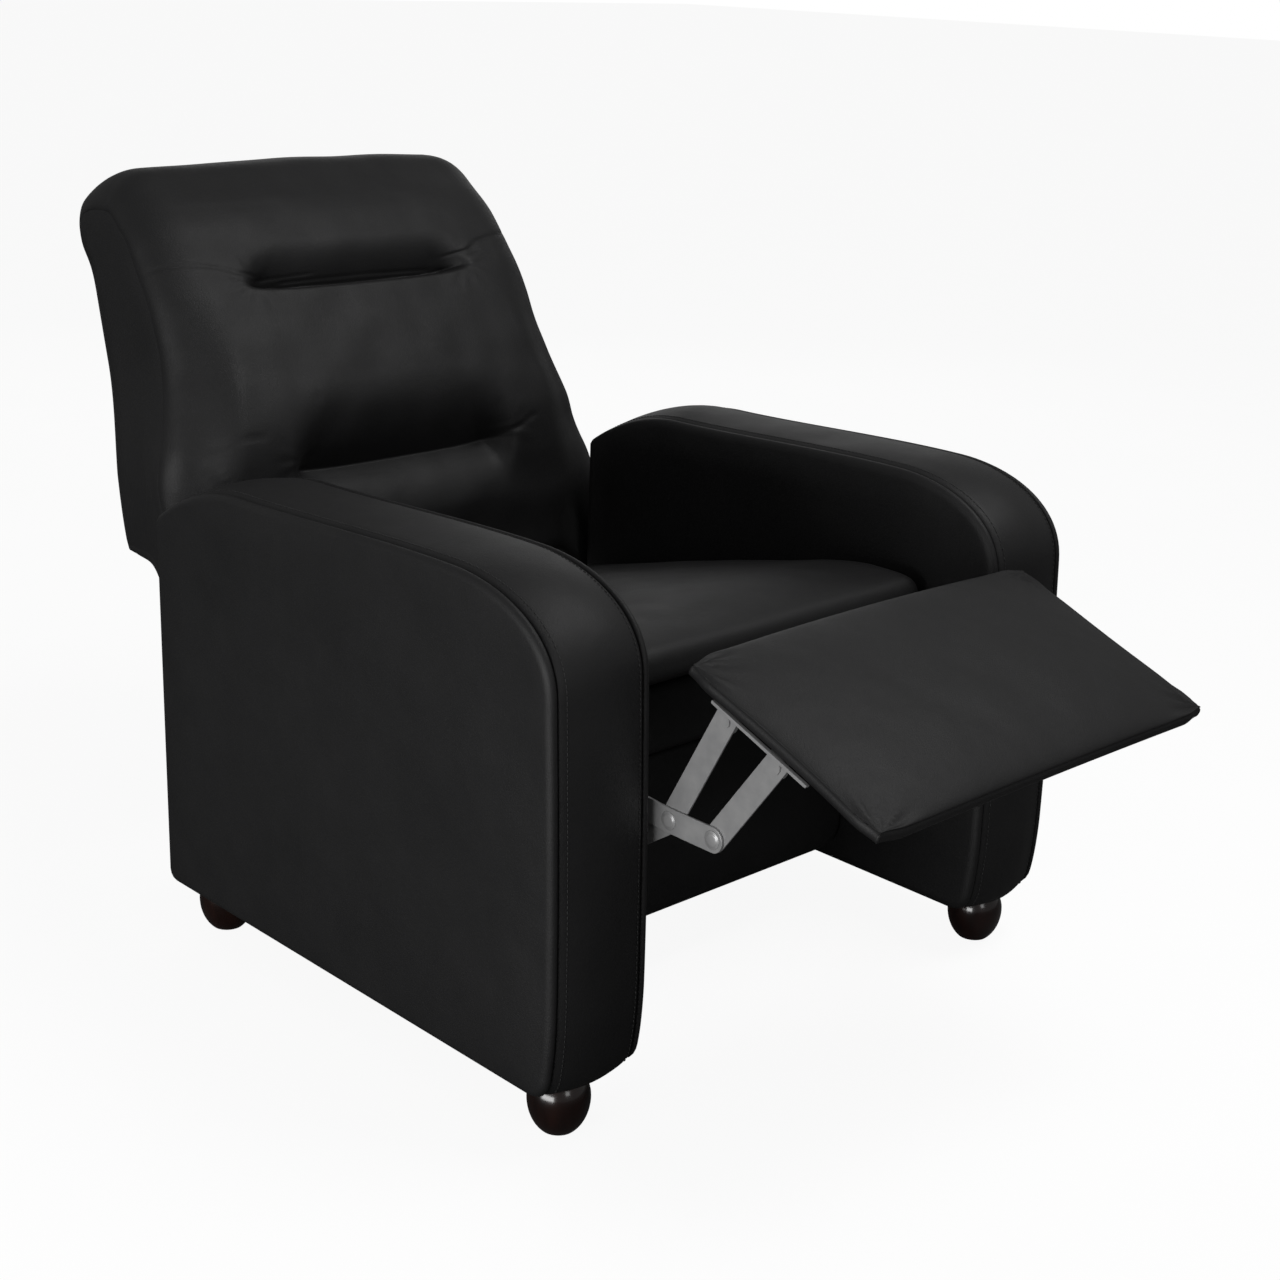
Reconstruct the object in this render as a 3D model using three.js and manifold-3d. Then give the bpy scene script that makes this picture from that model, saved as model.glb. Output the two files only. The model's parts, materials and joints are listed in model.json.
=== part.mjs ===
// A push-back recliner armchair with its footrest out and its back reclined.
// Millimetres. +Z is up, +Y runs towards the rear and the sitter looks along -Y.
// "right" and "left" are the sitter's own, so right pieces lie at -X.
// While it is being built, y = 0 is the arms' rear face and z = 0 is the floor.
import * as THREE from "three";
import { mergeVertices } from "three/addons/utils/BufferGeometryUtils.js";
import Module from "manifold-3d";

const wasm = await Module();
wasm.setup();

const radians = THREE.MathUtils.degToRad;

// Clearances
const gap = 0.3; // between two seated pieces, and round a pin in its hole
const overrun = 4; // how far a cut runs past the face that it opens

// Chair
const chairWidth = 750;
const armWidth = 123;
const halfWidth = chairWidth / 2;
const clearHalf = halfWidth - armWidth; // from the middle to an arm's inner face

// Arms
const armUnderside = 60;
const armTopHeight = 535;
const armRearDrop = 53; // from the top to where the rear shoulder starts
const armRearHeight = armTopHeight - armRearDrop;
const armTopRise = 11; // the top is this much higher at the front than at the rear
const armTopLength = 354;
const armRearShoulder = 150;
const armFrontShoulder = 138;
const armFrontDrop = 90;
const armFrontLean = 9;
const armToeHeight = 86;
const armToeReturn = 7;
const armPanel = 10; // board and padding on each side of an arm
const armOuterSoftening = 7; // how far an arm panel's edge draws in
const armInnerSoftening = 13;
const armShell = 20; // thickness of the band over the front, top and rear
const armCrown = 6;
const postDepth = 32;
const postSetback = 3; // of the timber behind the band
const armRailHeight = 34;
const topRailDrop = 62; // from the arm's top to the top rail's upper face
const rearShoulderShares = [0.17, 0.34, 0.55, 0.97]; // control points: run, rise, run, rise
const topShares = [0.3, 0.1, 0.7, 1.15];
const frontShoulderShares = [0.51, 0.03, 0.98, 0.34];
const armPanelShares = [[0, 1], [0.12, 0.55], [0.4, 0.2], [1, 0]]; // depth, softening
const armBandShares = [-1, -0.85, -0.5, 0, 0.5, 0.85, 1]; // of half its width

// Feet
const footHeight = armUnderside;
const footRadius = 31;
const footFlange = 24;
const footFlangeHeight = 3;
const footMiddle = 36; // height of its widest place
const footPad = 15;
const footStudRadius = 4;
const footStudLength = 16;
const footInset = 53; // from the arm's outer face
const frontFootInset = 44; // from the arm's front
const rearFootInset = 38;

// Seat, in its own tilted frame: y from the roll rearwards, z up from its top plane
const seatTilt = 14; // degrees, front higher
const seatRearHeight = 325.65;
const seatRearSetback = 11.8; // ahead of the arms' rear face
const seatDepth = 545;
const seatSetback = seatRearSetback + seatDepth * Math.cos(radians(seatTilt)); // of its front
const seatFrontHeight = seatRearHeight + seatDepth * Math.sin(radians(seatTilt));
const seatThickness = 75;
const seatRoll = 58; // height of the rolled front
const seatOverhang = 14;
const seatCrown = 16;
const seatSoftening = 20;
const seatEdgeShare = 0.8; // of the softening that its sides draw in
const seatStationShares = [0, 0.25, 0.5, 0.72, 0.88];
// The rolled front: shares of the deck's front, of the overhang and of the roll's height.
const seatRollShares = [
  [0.55, 0, 1],
  [0, 0.5, 0.95],
  [0, 1, 0.68],
  [0, 0.3, 0.33],
  [0.5, 0, 0.12],
  [1, 0, 0.03],
  [1.6, 0, 0],
];
const seatDeck = 9;
const seatDeckFront = 70;
const seatRailWidth = 25;
const seatRailHeight = 45;
const seatFrontRailHeight = 55;
const seatFrontRailSide = 17; // gap to each arm
const seatFrontRailHalf = clearHalf - seatFrontRailSide;
const seatSideRailSetback = 24; // behind the front rail, clear of the rear link

// Back, in its own tilted frame: y from the rear face rearwards, z up from its foot
const backTilt = 20; // degrees from upright
const backFootSetback = 186;
const backFootHeight = 370;
const backTopSpread = 9; // each side, wider than the space between the arms
const backFootSpread = 27; // the back widens downwards
const backWing = 30; // it widens this much more towards its foot, behind the arms
const backWingRearShare = 0.48; // of that, at its rear
const backWingTop = 220; // height at which that starts
const backWingFoot = 20; // and ends
const backRecess = 20; // its wings' front is set back this much, clear of the arms
const backRecessFoot = 150; // height at which that starts to fade
const backRecessTop = 215; // and ends
const backTopHalf = clearHalf + backTopSpread;
const backFootHalf = clearHalf + backFootSpread;
const backTaperFoot = 110; // height at which it has its full width
const backHeight = 450;
const backDepth = 178;
const backCrown = 16;
const backSoftening = 20;
const backEdgeShare = 0.75; // of the softening that its sides draw in
const backFrontShares = [0.4, 0.62]; // of the depth, between which the front's fullness fades in
const backTongue = 85; // how far the front of the cushion hangs below the foot
const backLip = 13; // the top overhangs the rear cover by this much
const backCover = 12;
const backCoverTop = 392;
const backCoverFoot = 16;
const backCoverInset = 3;
const backRailDepth = 38;
const backRailWidth = 28;
const backRailTop = 384;
const backRailFoot = 26;
const backCrossRail = 40;
const channelSide = 106; // from a channel's end to the back's side
const channelHalf = backTopHalf - channelSide;
const channelFade = 18;
const upperChannelHeight = 307;
const upperChannelDepth = 20;
const upperChannelSpread = 13;
const lowerChannelHeight = 104;
const lowerChannelDepth = 28;
const lowerChannelSpread = 24;

// Footrest, in its own tilted frame: y from its rear edge forwards, z up from its edge
const footrestTilt = 21.1; // degrees, front lower
const footrestAhead = 139.4; // of the seat's front
const footrestRise = 20; // above it
const footrestSetback = seatSetback + footrestAhead;
const footrestRearHeight = seatFrontHeight + footrestRise;
const footrestSide = 4; // gap to each arm's inner face, seen from above
const footrestHalf = clearHalf - footrestSide;
const footrestStationShares = [0, 0.25, 0.5, 0.75, 0.92];
const footrestLength = 250;
const footrestEdge = 14; // thickness of the rim
const footrestCrown = 20;
const footrestBow = 8; // the rear edge is bowed this much
const footrestDrawIn = 5;
const footrestBoard = 9;
const footrestBoardInset = 6;
const bracketFront = 166;
const bracketRear = 38;
const bracketWidth = 24;
const earDrop = 13; // from the rim's underside to an ear's pivot
const rearEar = 56; // along the footrest
const frontEar = 122;

// Steel mechanism
const steel = 2.5;
const layerPitch = 2.9; // steel and the space to the next layer
const stripRadius = 12.5;
const pinRadius = 4;
const openPinRadius = 3.5;
const openSlack = 3; // room at the footrest pivot where the linkage is opened
const rearLinkSlack = 0.4;
const headRadius = 7;
const headThickness = 1.5;
const plateRadius = 15;
const plateLobe = 10; // round the rear link's pivot
const basePlateRadius = 18;
const foldInset = 20.6; // behind the seat's front
const foldDrop = 132.5; // below it
const foldPivot = [foldInset - seatSetback, seatFrontHeight - foldDrop];
const carrierReach = 140.5;
const carrierDrop = 8.5;
const tipReach = 56;
const tipDrop = 0.5;
const tailLength = 52;
const tailAngle = -34; // degrees
const rearLinkSetback = 44;
const rearLinkDrop = 30;
const tiltSetback = 60; // ahead of the arms' rear face
const tiltDrop = 135; // below the back's foot
const tiltPivot = [-tiltSetback, backFootHeight - tiltDrop];
const guideReach = 300;
const reclineAhead = 126; // of the back's foot
const reclineDrop = 60; // below it
const reclinePivot = [backFootSetback - reclineAhead, backFootHeight - reclineDrop];
const toeReach = 75; // the back's guide pin ahead of its hinge
const toeDrop = 77;
const shelfRadius = 8; // of the bar under the toe pin
const shelfSlack = 1.5; // between that bar and the pin
const seatTravel = 2; // degrees between reclined and upright
const backTravel = 12; // degrees, on the seat
const bracketRadius = 13;
const bracketTop = 185;
const bracketEntry = 22;

// Base between the arms
const frontPanelInset = 80.6; // behind the seat's front
const frontPanelSetback = seatSetback - frontPanelInset;
const frontPanelThickness = 28;
const frontPanelFoot = 86;
const frontPanelTop = 278;
const frontPanelSide = 1; // gap to each arm
const frontPanelCorner = 28;
const frontPanelCrown = 5;
const frontPanelSoftening = 22;
const frontPanelShares = [[1, 1], [0.7, 0.545], [0, 0.07]]; // crown, softening
const baseRailDepth = 22;
const frontRailTop = 250;
const baseRailFoot = 90;
const rearPanelSetback = 8;
const rearPanelThickness = 20;
const rearPanelDrop = 172; // below the back's foot
const rearPanelTop = backFootHeight - rearPanelDrop;
const rearRailDrop = 8; // below the rear panel's top
const rearRailTop = rearPanelTop - rearRailDrop;
const rearPanelFoot = 80;
const dustCover = 2;

// Resolution of the curved forms
const stepsRound = 16; // round a foot
const stepsPin = 12; // round a pin
const stepsStrip = 16; // round both ends of a strip

function coat(color, roughness, metalness = 0) {
  return new THREE.MeshStandardMaterial({ color, roughness, metalness });
}
const leatherette = coat(0x1a1a1b, 0.42);
const timber = coat(0xb08a5c, 0.7);
const turnedWood = coat(0x2a1512, 0.25);
const zincSteel = coat(0xa9a9aa, 0.38, 0.85);
const nonWoven = coat(0x141414, 0.95);

// Solids

function solid(geometry) {
  const bare = new THREE.BufferGeometry();
  const source = geometry.index ? geometry.toNonIndexed() : geometry;
  bare.setAttribute("position", source.getAttribute("position"));
  const merged = mergeVertices(bare, 1e-4);
  const made = new wasm.Manifold(
    new wasm.Mesh({
      numProp: 3,
      vertProperties: merged.attributes.position.array,
      triVerts: new Uint32Array(merged.index.array),
    }),
  );
  return made;
}

function geometryOf(manifold) {
  const mesh = manifold.getMesh();
  const geometry = new THREE.BufferGeometry();
  geometry.setAttribute("position", new THREE.BufferAttribute(mesh.vertProperties, mesh.numProp));
  geometry.setIndex(new THREE.BufferAttribute(mesh.triVerts, 1));
  return geometry;
}

function unite(pieces) {
  return pieces.reduce((whole, piece) => whole.add(piece));
}

// A shape drawn in (y, z), pushed along x from one x to the other.
function alongX(shape, from, to, steps = 1) {
  const low = Math.min(from, to);
  const geometry = new THREE.ExtrudeGeometry(shape, {
    depth: Math.abs(to - from),
    bevelEnabled: false,
    curveSegments: steps,
  });
  const turn = new THREE.Matrix4().set(0, 0, 1, low, 1, 0, 0, 0, 0, 1, 0, 0, 0, 0, 0, 1);
  return geometry.applyMatrix4(turn);
}

function outlineShape(points) {
  return new THREE.Shape(points.map(([y, z]) => new THREE.Vector2(y, z)));
}

function box(x, y, z) {
  const corners = [
    [y[0], z[0]],
    [y[1], z[0]],
    [y[1], z[1]],
    [y[0], z[1]],
  ];
  return alongX(outlineShape(corners), x[0], x[1]);
}

function disc([y, z], radius, from, to) {
  const shape = new THREE.Shape();
  shape.absarc(y, z, radius, 0, 2 * Math.PI);
  return solid(alongX(shape, from, to, stepsPin / 2));
}

// A flat bar with round ends between two points of (y, z).
function bar([y0, z0], [y1, z1], radius, from, to) {
  const along = Math.atan2(z1 - z0, y1 - y0);
  const shape = new THREE.Shape();
  shape.absarc(y1, z1, radius, along - Math.PI / 2, along + Math.PI / 2);
  shape.absarc(y0, z0, radius, along + Math.PI / 2, along + (3 * Math.PI) / 2);
  return solid(alongX(shape, from, to, stepsStrip / 4));
}

function plate(points, radius, from, to) {
  const bars = points.slice(1).map((point, i) => bar(points[i], point, radius, from, to));
  return unite(bars);
}

function drill(piece, point, radius, from, to) {
  const low = Math.min(from, to) - overrun;
  const high = Math.max(from, to) + overrun;
  return piece.subtract(disc(point, radius, low, high));
}

// A flat end as a fan round an added middle point.
function fan(count, hub) {
  return Array.from({ length: count }, (_, i) => [hub, i, (i + 1) % count]);
}

// A flat end for a folded ring, whose second half runs back beside its first.
function ladder(count) {
  const rungs = Array.from({ length: count / 2 - 1 }, (_, i) => [i, i + 1, count - 2 - i, count - 1 - i]);
  return rungs.flatMap(([a, b, c, d]) => [
    [a, b, c],
    [a, c, d],
  ]);
}

// Skins a row of closed rings that have the same count of points.
function loft(rings, folded = false) {
  const count = rings[0].length;
  const last = (rings.length - 1) * count;
  const points = rings.flat();
  const index = [];
  for (let start = 0; start < last; start += count) {
    for (let i = 0; i < count; i++) {
      const a = start + i;
      const b = start + ((i + 1) % count);
      index.push(a, b, b + count, a, b + count, a + count);
    }
  }
  const middle = (ring) => ring.reduce((sum, p) => sum.add(p), new THREE.Vector3()).divideScalar(count);
  const hub = folded ? 0 : points.push(middle(rings[0]), middle(rings[rings.length - 1])) - 2;
  const cap = (hubIndex) => (folded ? ladder(count) : fan(count, hubIndex));
  cap(hub).forEach(([a, b, c]) => index.push(a, c, b));
  cap(hub + 1 - last).forEach(([a, b, c]) => index.push(last + a, last + b, last + c));
  const geometry = new THREE.BufferGeometry().setFromPoints(points);
  geometry.setIndex(index);
  return geometry;
}

// Rings stacked along x, each a list of [y, z] that runs anticlockwise in (y, z).
function loftAcross(stations, folded = false) {
  const rings = stations.map(([x, ring]) => ring.map(([y, z]) => new THREE.Vector3(x, y, z)));
  return loft(rings, folded);
}

// Moves each point of a closed anticlockwise outline inwards; shareAt can hold some of them back.
function inset(outline, amount, shareAt = () => 1) {
  return outline.map(([y, z], i) => {
    const [ya, za] = outline[(i + outline.length - 1) % outline.length];
    const [yb, zb] = outline[(i + 1) % outline.length];
    const move = (amount * shareAt(y, z)) / Math.hypot(yb - ya, zb - za);
    return [y - (zb - za) * move, z + (yb - ya) * move];
  });
}

function smooth(from, to, value) {
  return THREE.MathUtils.smoothstep(value, from, to);
}

function spline(points, steps) {
  const curve = new THREE.SplineCurve(points.map(([y, z]) => new THREE.Vector2(y, z)));
  return curve.getPoints(steps).map((p) => [p.x, p.y]);
}

// How far a cushion's outline draws in at the share s of its half width, for an edge radius.
function edgeInset(x, half, radius) {
  const into = Math.max(0, Math.abs(x) - (half - radius)) / radius;
  return radius * (1 - Math.sqrt(Math.max(0, 1 - into * into)));
}

// Stations across a cushion, closer together near its edges.
function acrossStations(half, radius, inner) {
  const edge = [0, 0.45, 0.75, 0.93].map((share) => half - radius + share * radius);
  const right = [...inner, ...edge, half - radius * 0.002];
  const mirrored = right.filter((x) => x > 0).map((x) => -x);
  return [...mirrored.reverse(), ...right];
}

// Scene graph

const chair = new THREE.Group();
const seatFrame = new THREE.Group();
seatFrame.position.set(0, -seatSetback, seatFrontHeight);
seatFrame.rotation.x = radians(-seatTilt);
const backFrame = new THREE.Group();
backFrame.position.set(0, backFootSetback, backFootHeight);
backFrame.rotation.x = radians(-backTilt);
const footrestFrame = new THREE.Group();
footrestFrame.position.set(0, -footrestSetback, footrestRearHeight);
footrestFrame.rotation.x = radians(footrestTilt);
chair.add(seatFrame, backFrame, footrestFrame);

function place(name, shape, material, parent = chair) {
  const geometry = shape.isBufferGeometry ? shape : geometryOf(shape);
  const mesh = new THREE.Mesh(geometry, material);
  mesh.name = name;
  parent.add(mesh);
  return mesh;
}

// The point of the chair's (y, z) that a tilted frame gives to one of its own.
function fromFrame(frame, y, z) {
  const turn = frame.rotation.x;
  return [
    frame.position.y + y * Math.cos(turn) - z * Math.sin(turn),
    frame.position.z + y * Math.sin(turn) + z * Math.cos(turn),
  ];
}

const sides = [
  ["right", -1],
  ["left", 1],
];

// The |x| of a steel layer's outer and inner face; layer 0 lies on the arm.
function layer(number) {
  const outer = clearHalf - gap - number * layerPitch;
  return [outer, outer - steel];
}

// Arms

function armPath() {
  const topFront = -armRearShoulder - armTopLength;
  const frontTop = armTopHeight + armTopRise;
  const shoulderFoot = frontTop - armFrontDrop;
  const rise = armTopHeight - armRearHeight;
  const [r0, r1, r2, r3] = rearShoulderShares;
  const [t0, t1, t2, t3] = topShares;
  const [f0, f1, f2, f3] = frontShoulderShares;
  const face = topFront - armFrontShoulder;
  const path = new THREE.Path();
  path.moveTo(0, armUnderside);
  path.lineTo(0, armRearHeight);
  path.bezierCurveTo(
    -r0 * armRearShoulder,
    armRearHeight + r1 * rise,
    -r2 * armRearShoulder,
    armRearHeight + r3 * rise,
    -armRearShoulder,
    armTopHeight,
  );
  path.bezierCurveTo(
    -armRearShoulder - t0 * armTopLength,
    armTopHeight + t1 * armTopRise,
    -armRearShoulder - t2 * armTopLength,
    armTopHeight + t3 * armTopRise,
    topFront,
    frontTop,
  );
  path.bezierCurveTo(
    topFront - f0 * armFrontShoulder,
    frontTop - f1 * armFrontDrop,
    topFront - f2 * armFrontShoulder,
    frontTop - f3 * armFrontDrop,
    face,
    shoulderFoot,
  );
  path.quadraticCurveTo(
    face - armFrontLean,
    (shoulderFoot + armUnderside) / 2,
    face - armFrontLean,
    armUnderside + armToeHeight,
  );
  path.lineTo(face - armFrontLean + armToeReturn, armUnderside);
  return path;
}

const armFront = -armRearShoulder - armTopLength - armFrontShoulder - armFrontLean;
const armOutline = armPath()
  .getPoints(9)
  .map((p) => [p.x, p.y]);

// The open path over the arm, moved inwards by an amount; its two feet stay at the underside.
function armPathInset(amount) {
  const moved = inset(armOutline, amount);
  const last = armOutline.length - 1;
  moved[0] = [-amount, armUnderside];
  moved[last] = [armOutline[last][0] + amount, armUnderside];
  return moved;
}

function armBand(low, high) {
  const middle = (low + high) / 2;
  const half = (high - low) / 2;
  const stations = armBandShares.map((share) => {
    const crown = armCrown * Math.sqrt(1 - share * share);
    const inner = armPathInset(armShell);
    return [middle + share * half, [...armPathInset(-crown), ...inner.reverse()]];
  });
  return loftAcross(stations, true);
}

function addArm(side, sign) {
  const outer = sign * halfWidth;
  const inner = sign * clearHalf;
  const outerSeat = outer - sign * armPanel;
  const innerSeat = inner + sign * armPanel;
  const panel = (face, seat, softening) => {
    const stations = armPanelShares.map(([share, softShare]) => [
      face + (seat - face) * share,
      armPathInset(softShare * softening),
    ]);
    return loftAcross(seat > face ? stations : stations.reverse());
  };
  place(`${side}_arm_outer_panel`, panel(outer, outerSeat, armOuterSoftening), leatherette);
  place(`${side}_arm_inner_panel`, panel(inner, innerSeat, armInnerSoftening), leatherette);
  const low = Math.min(outerSeat, innerSeat) + gap;
  const high = Math.max(outerSeat, innerSeat) - gap;
  place(`${side}_arm_band`, armBand(low, high), leatherette);

  // Timber inside the band
  const wood = [low + gap, high - gap];
  const rear = -armShell - gap;
  const front = armFront + armFrontLean + armShell + postSetback;
  const railTop = armUnderside + armRailHeight;
  const topRail = armTopHeight - topRailDrop;
  const topRailFoot = topRail - armRailHeight;
  const footX = outer - sign * footInset;
  const footPlaces = [
    ["front", armFront + frontFootInset],
    ["rear", -rearFootInset],
  ];
  const studHole = (y) =>
    solid(new THREE.CylinderGeometry(1, 1, 1, stepsPin))
      .scale([footStudRadius + gap, footStudLength + overrun, footStudRadius + gap])
      .rotate([90, 0, 0])
      .translate([footX, y, armUnderside + (footStudLength - overrun) / 2 + gap]);
  const rail = solid(box(wood, [front, rear], [armUnderside, railTop]));
  place(
    `${side}_arm_bottom_rail`,
    footPlaces.reduce((whole, [, y]) => whole.subtract(studHole(y)), rail),
    timber,
  );
  const posts = [railTop + gap, topRailFoot - gap];
  place(`${side}_arm_rear_post`, box(wood, [rear - postDepth, rear], posts), timber);
  place(`${side}_arm_front_post`, box(wood, [front, front + postDepth], posts), timber);
  place(
    `${side}_arm_top_rail`,
    box(wood, [front + postDepth / 2, rear - postDepth], [topRailFoot, topRail]),
    timber,
  );
  footPlaces.forEach(([end, y]) => addFoot(`${side}_${end}_foot`, footX, y));
}

function addFoot(name, x, y) {
  const top = footHeight - gap;
  const neck = top - footFlangeHeight;
  const steps = stepsRound / 4;
  const arc = (radius, height) => {
    const edge = Math.asin(radius / footRadius);
    return Array.from({ length: steps + 1 }, (_, i) => {
      const turn = edge + ((Math.PI / 2 - edge) * i) / steps;
      const rise = (height * Math.cos(turn)) / Math.cos(edge);
      return new THREE.Vector2(footRadius * Math.sin(turn), footMiddle + rise);
    });
  };
  const profile = [
    new THREE.Vector2(0, 0),
    ...arc(footPad, -footMiddle),
    ...arc(footFlange, neck - footMiddle).reverse().slice(1),
    new THREE.Vector2(footFlange, top),
    new THREE.Vector2(footStudRadius, top),
    new THREE.Vector2(footStudRadius, top + footStudLength),
    new THREE.Vector2(0, top + footStudLength),
  ];
  const foot = place(name, new THREE.LatheGeometry(profile, stepsRound), turnedWood);
  foot.rotation.x = Math.PI / 2;
  foot.position.set(x, y, 0);
}

// Base

function addBase() {
  const half = clearHalf - gap;
  const panelHalf = clearHalf - frontPanelSide;
  const panelRing = (amount) => {
    const shape = new THREE.Shape();
    const w = panelHalf - amount;
    const low = frontPanelFoot + amount;
    const high = frontPanelTop - amount;
    const r = frontPanelCorner;
    shape.moveTo(-w, high);
    shape.lineTo(-w, low + r);
    shape.absarc(-w + r, low + r, r, Math.PI, 1.5 * Math.PI);
    shape.lineTo(w - r, low);
    shape.absarc(w - r, low + r, r, 1.5 * Math.PI, 2 * Math.PI);
    shape.lineTo(w, high);
    return shape.getPoints(6).reverse();
  };
  const rearFace = -frontPanelSetback + frontPanelThickness;
  const padded = frontPanelShares.map(([crownShare, softShare]) => [
    -frontPanelSetback - crownShare * frontPanelCrown,
    softShare * frontPanelSoftening,
  ]);
  const rings = [...padded, [frontPanelCrown - frontPanelSetback, 0], [rearFace, 0]].map(([y, amount]) =>
    panelRing(amount).map((p) => new THREE.Vector3(p.x, y, p.y)),
  );
  place("front_panel", loft(rings), leatherette);

  const frontRail = [rearFace + gap, rearFace + gap + baseRailDepth];
  place("front_base_rail", box([-half, half], frontRail, [baseRailFoot, frontRailTop]), timber);
  const panelFront = -rearPanelSetback - rearPanelThickness;
  const rearRail = [panelFront - gap - baseRailDepth, panelFront - gap];
  place("rear_base_rail", box([-half, half], rearRail, [baseRailFoot, rearRailTop]), timber);
  place(
    "rear_panel",
    box([-half, half], [panelFront, -rearPanelSetback], [rearPanelFoot, rearPanelTop]),
    leatherette,
  );
  place(
    "dust_cover",
    box(
      [-half, half],
      [rearFace + gap, panelFront - gap],
      [baseRailFoot - gap - dustCover, baseRailFoot - gap],
    ),
    nonWoven,
  );
}

// Seat

const seatHalf = layer(4)[0] - gap;

function seatOutline() {
  const low = -seatThickness;
  const corner = seatThickness / 4;
  const rolled = seatRollShares.map(([deckShare, overhangShare, rollShare]) => [
    deckShare * seatDeckFront - overhangShare * seatOverhang,
    -rollShare * seatRoll,
  ]);
  const roll = spline([[seatDeckFront + corner, low], ...rolled], 18);
  const rear = spline(
    [
      [seatDepth - corner * 1.6, 0],
      [seatDepth - corner * 0.5, -corner * 0.4],
      [seatDepth, -corner * 1.6],
    ],
    5,
  );
  const from = rolled[rolled.length - 1][0];
  const topSteps = 6;
  const top = Array.from({ length: topSteps - 1 }, (_, i) => [
    from + ((seatDepth - corner * 1.6 - from) * (i + 1)) / topSteps,
    0,
  ]);
  return [...roll, ...top, ...rear, [seatDepth, low + corner], [seatDepth - corner, low]].reverse();
}

function addSeat() {
  const outline = seatOutline();
  const inner = seatStationShares.map((share) => share * (seatHalf - seatSoftening));
  const stations = acrossStations(seatHalf, seatSoftening, inner).map((x) => {
    const ring = inset(outline, edgeInset(x, seatHalf, seatSoftening) * seatEdgeShare);
    const across = 1 - (x / seatHalf) ** 2;
    const crowned = ring.map(([y, z]) => {
      const along = Math.sin(Math.PI * THREE.MathUtils.clamp(y / seatDepth, 0, 1)) ** 0.6;
      const upper = smooth(-seatRoll * 0.6, 0, z);
      return [y, z + seatCrown * across * along * upper];
    });
    return [x, crowned];
  });
  place("seat_cushion", loftAcross(stations), leatherette, seatFrame);

  const deckTop = -seatThickness - gap;
  const railTop = deckTop - seatDeck - gap;
  const deckRear = seatDepth - seatSoftening / 4;
  place(
    "seat_deck",
    box([-seatHalf, seatHalf], [seatDeckFront, deckRear], [deckTop - seatDeck, deckTop]),
    timber,
    seatFrame,
  );
  const railFoot = railTop - seatRailHeight;
  const frontRail = [seatDeckFront + gap, seatDeckFront + seatRailWidth];
  const ring = (amount) => [
    [frontRail[0], railTop - amount],
    [frontRail[0], railTop - seatFrontRailHeight + amount],
    [frontRail[1], railTop - seatFrontRailHeight],
    [frontRail[1], railTop],
  ];
  const soft = seatRailWidth / 5;
  place(
    "seat_front_rail",
    loftAcross([
      [-seatFrontRailHalf, ring(soft)],
      [-seatFrontRailHalf + soft, ring(0)],
      [seatFrontRailHalf - soft, ring(0)],
      [seatFrontRailHalf, ring(soft)],
    ]),
    leatherette,
    seatFrame,
  );
  const sideRail = [frontRail[1] + seatSideRailSetback, deckRear - soft];
  const railOuter = layer(3)[0] + layerPitch - steel - gap;
  sides.forEach(([side, sign]) => {
    const across = [sign * railOuter, sign * (railOuter - seatRailWidth)];
    place(`${side}_seat_rail`, box(across, sideRail, [railFoot, railTop]), timber, seatFrame);
  });
  const between = railOuter - seatRailWidth - gap;
  place(
    "seat_rear_rail",
    box([-between, between], [sideRail[1] - seatRailWidth, sideRail[1]], [railFoot, railTop]),
    timber,
    seatFrame,
  );
}

// Back

// Shares of the back's height and depth: under its foot, then up its front and over its top.
const backFootShares = [
  [0.04, 0.09],
  [0.0, 0.34],
  [-0.09, 0.5],
  [-0.17, 0.63],
  [-0.19, 0.745],
  [-0.15, 0.8],
];
const backFaceShares = [
  [-0.06, 0.83],
  [0.02, 0.858],
  [0.11, 0.92],
  [0.25, 1.0],
  [0.4, 0.972],
  [0.613, 0.856],
  [0.793, 0.708],
  [0.881, 0.597],
  [0.963, 0.48],
  [0.993, 0.35],
  [1.0, 0.22],
  [0.993, 0.08],
  [0.977, -0.03],
  [0.95, -0.073],
  [0.915, -0.08],
];

function backOutline() {
  const seat = -backCover - gap;
  const at = ([up, deep]) => [-deep * backDepth, up * backHeight];
  const front = spline([...backFootShares, ...backFaceShares].map(at), 38);
  const shelf = backCoverTop + gap;
  const lip = -at(backFaceShares[backFaceShares.length - 1])[0];
  // Runs up the front, over the top and down behind, so it is reversed to be anticlockwise.
  return [...front, [-lip, shelf], [seat, shelf], [seat, backCoverFoot]].reverse();
}

// The back widens from its top down to its taper's foot, and more at its wings.
function backFlare(y, up) {
  const share = THREE.MathUtils.clamp((backHeight - up) / (backHeight - backTaperFoot), 0, 1);
  const [nearShare, farShare] = backFrontShares;
  const rear = smooth(-backDepth * farShare, -backDepth * nearShare, y);
  const wingShare = 1 + (backWingRearShare - 1) * rear;
  const wing = backWing * wingShare * (1 - smooth(backWingFoot, backWingTop, up));
  return (backTopHalf + (backFootHalf - backTopHalf) * share + wing) / backTopHalf;
}

function flareBack(geometry) {
  const points = geometry.getAttribute("position");
  for (let i = 0; i < points.count; i++) {
    points.setX(i, points.getX(i) * backFlare(points.getY(i), points.getZ(i)));
  }
  return geometry;
}

// The share of the full crown that the front has at a height.
function backFullness(up) {
  const top = 1 - smooth(backCoverTop, backHeight, up);
  const foot = smooth(-backTongue, 0, up);
  return top * foot;
}

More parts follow.
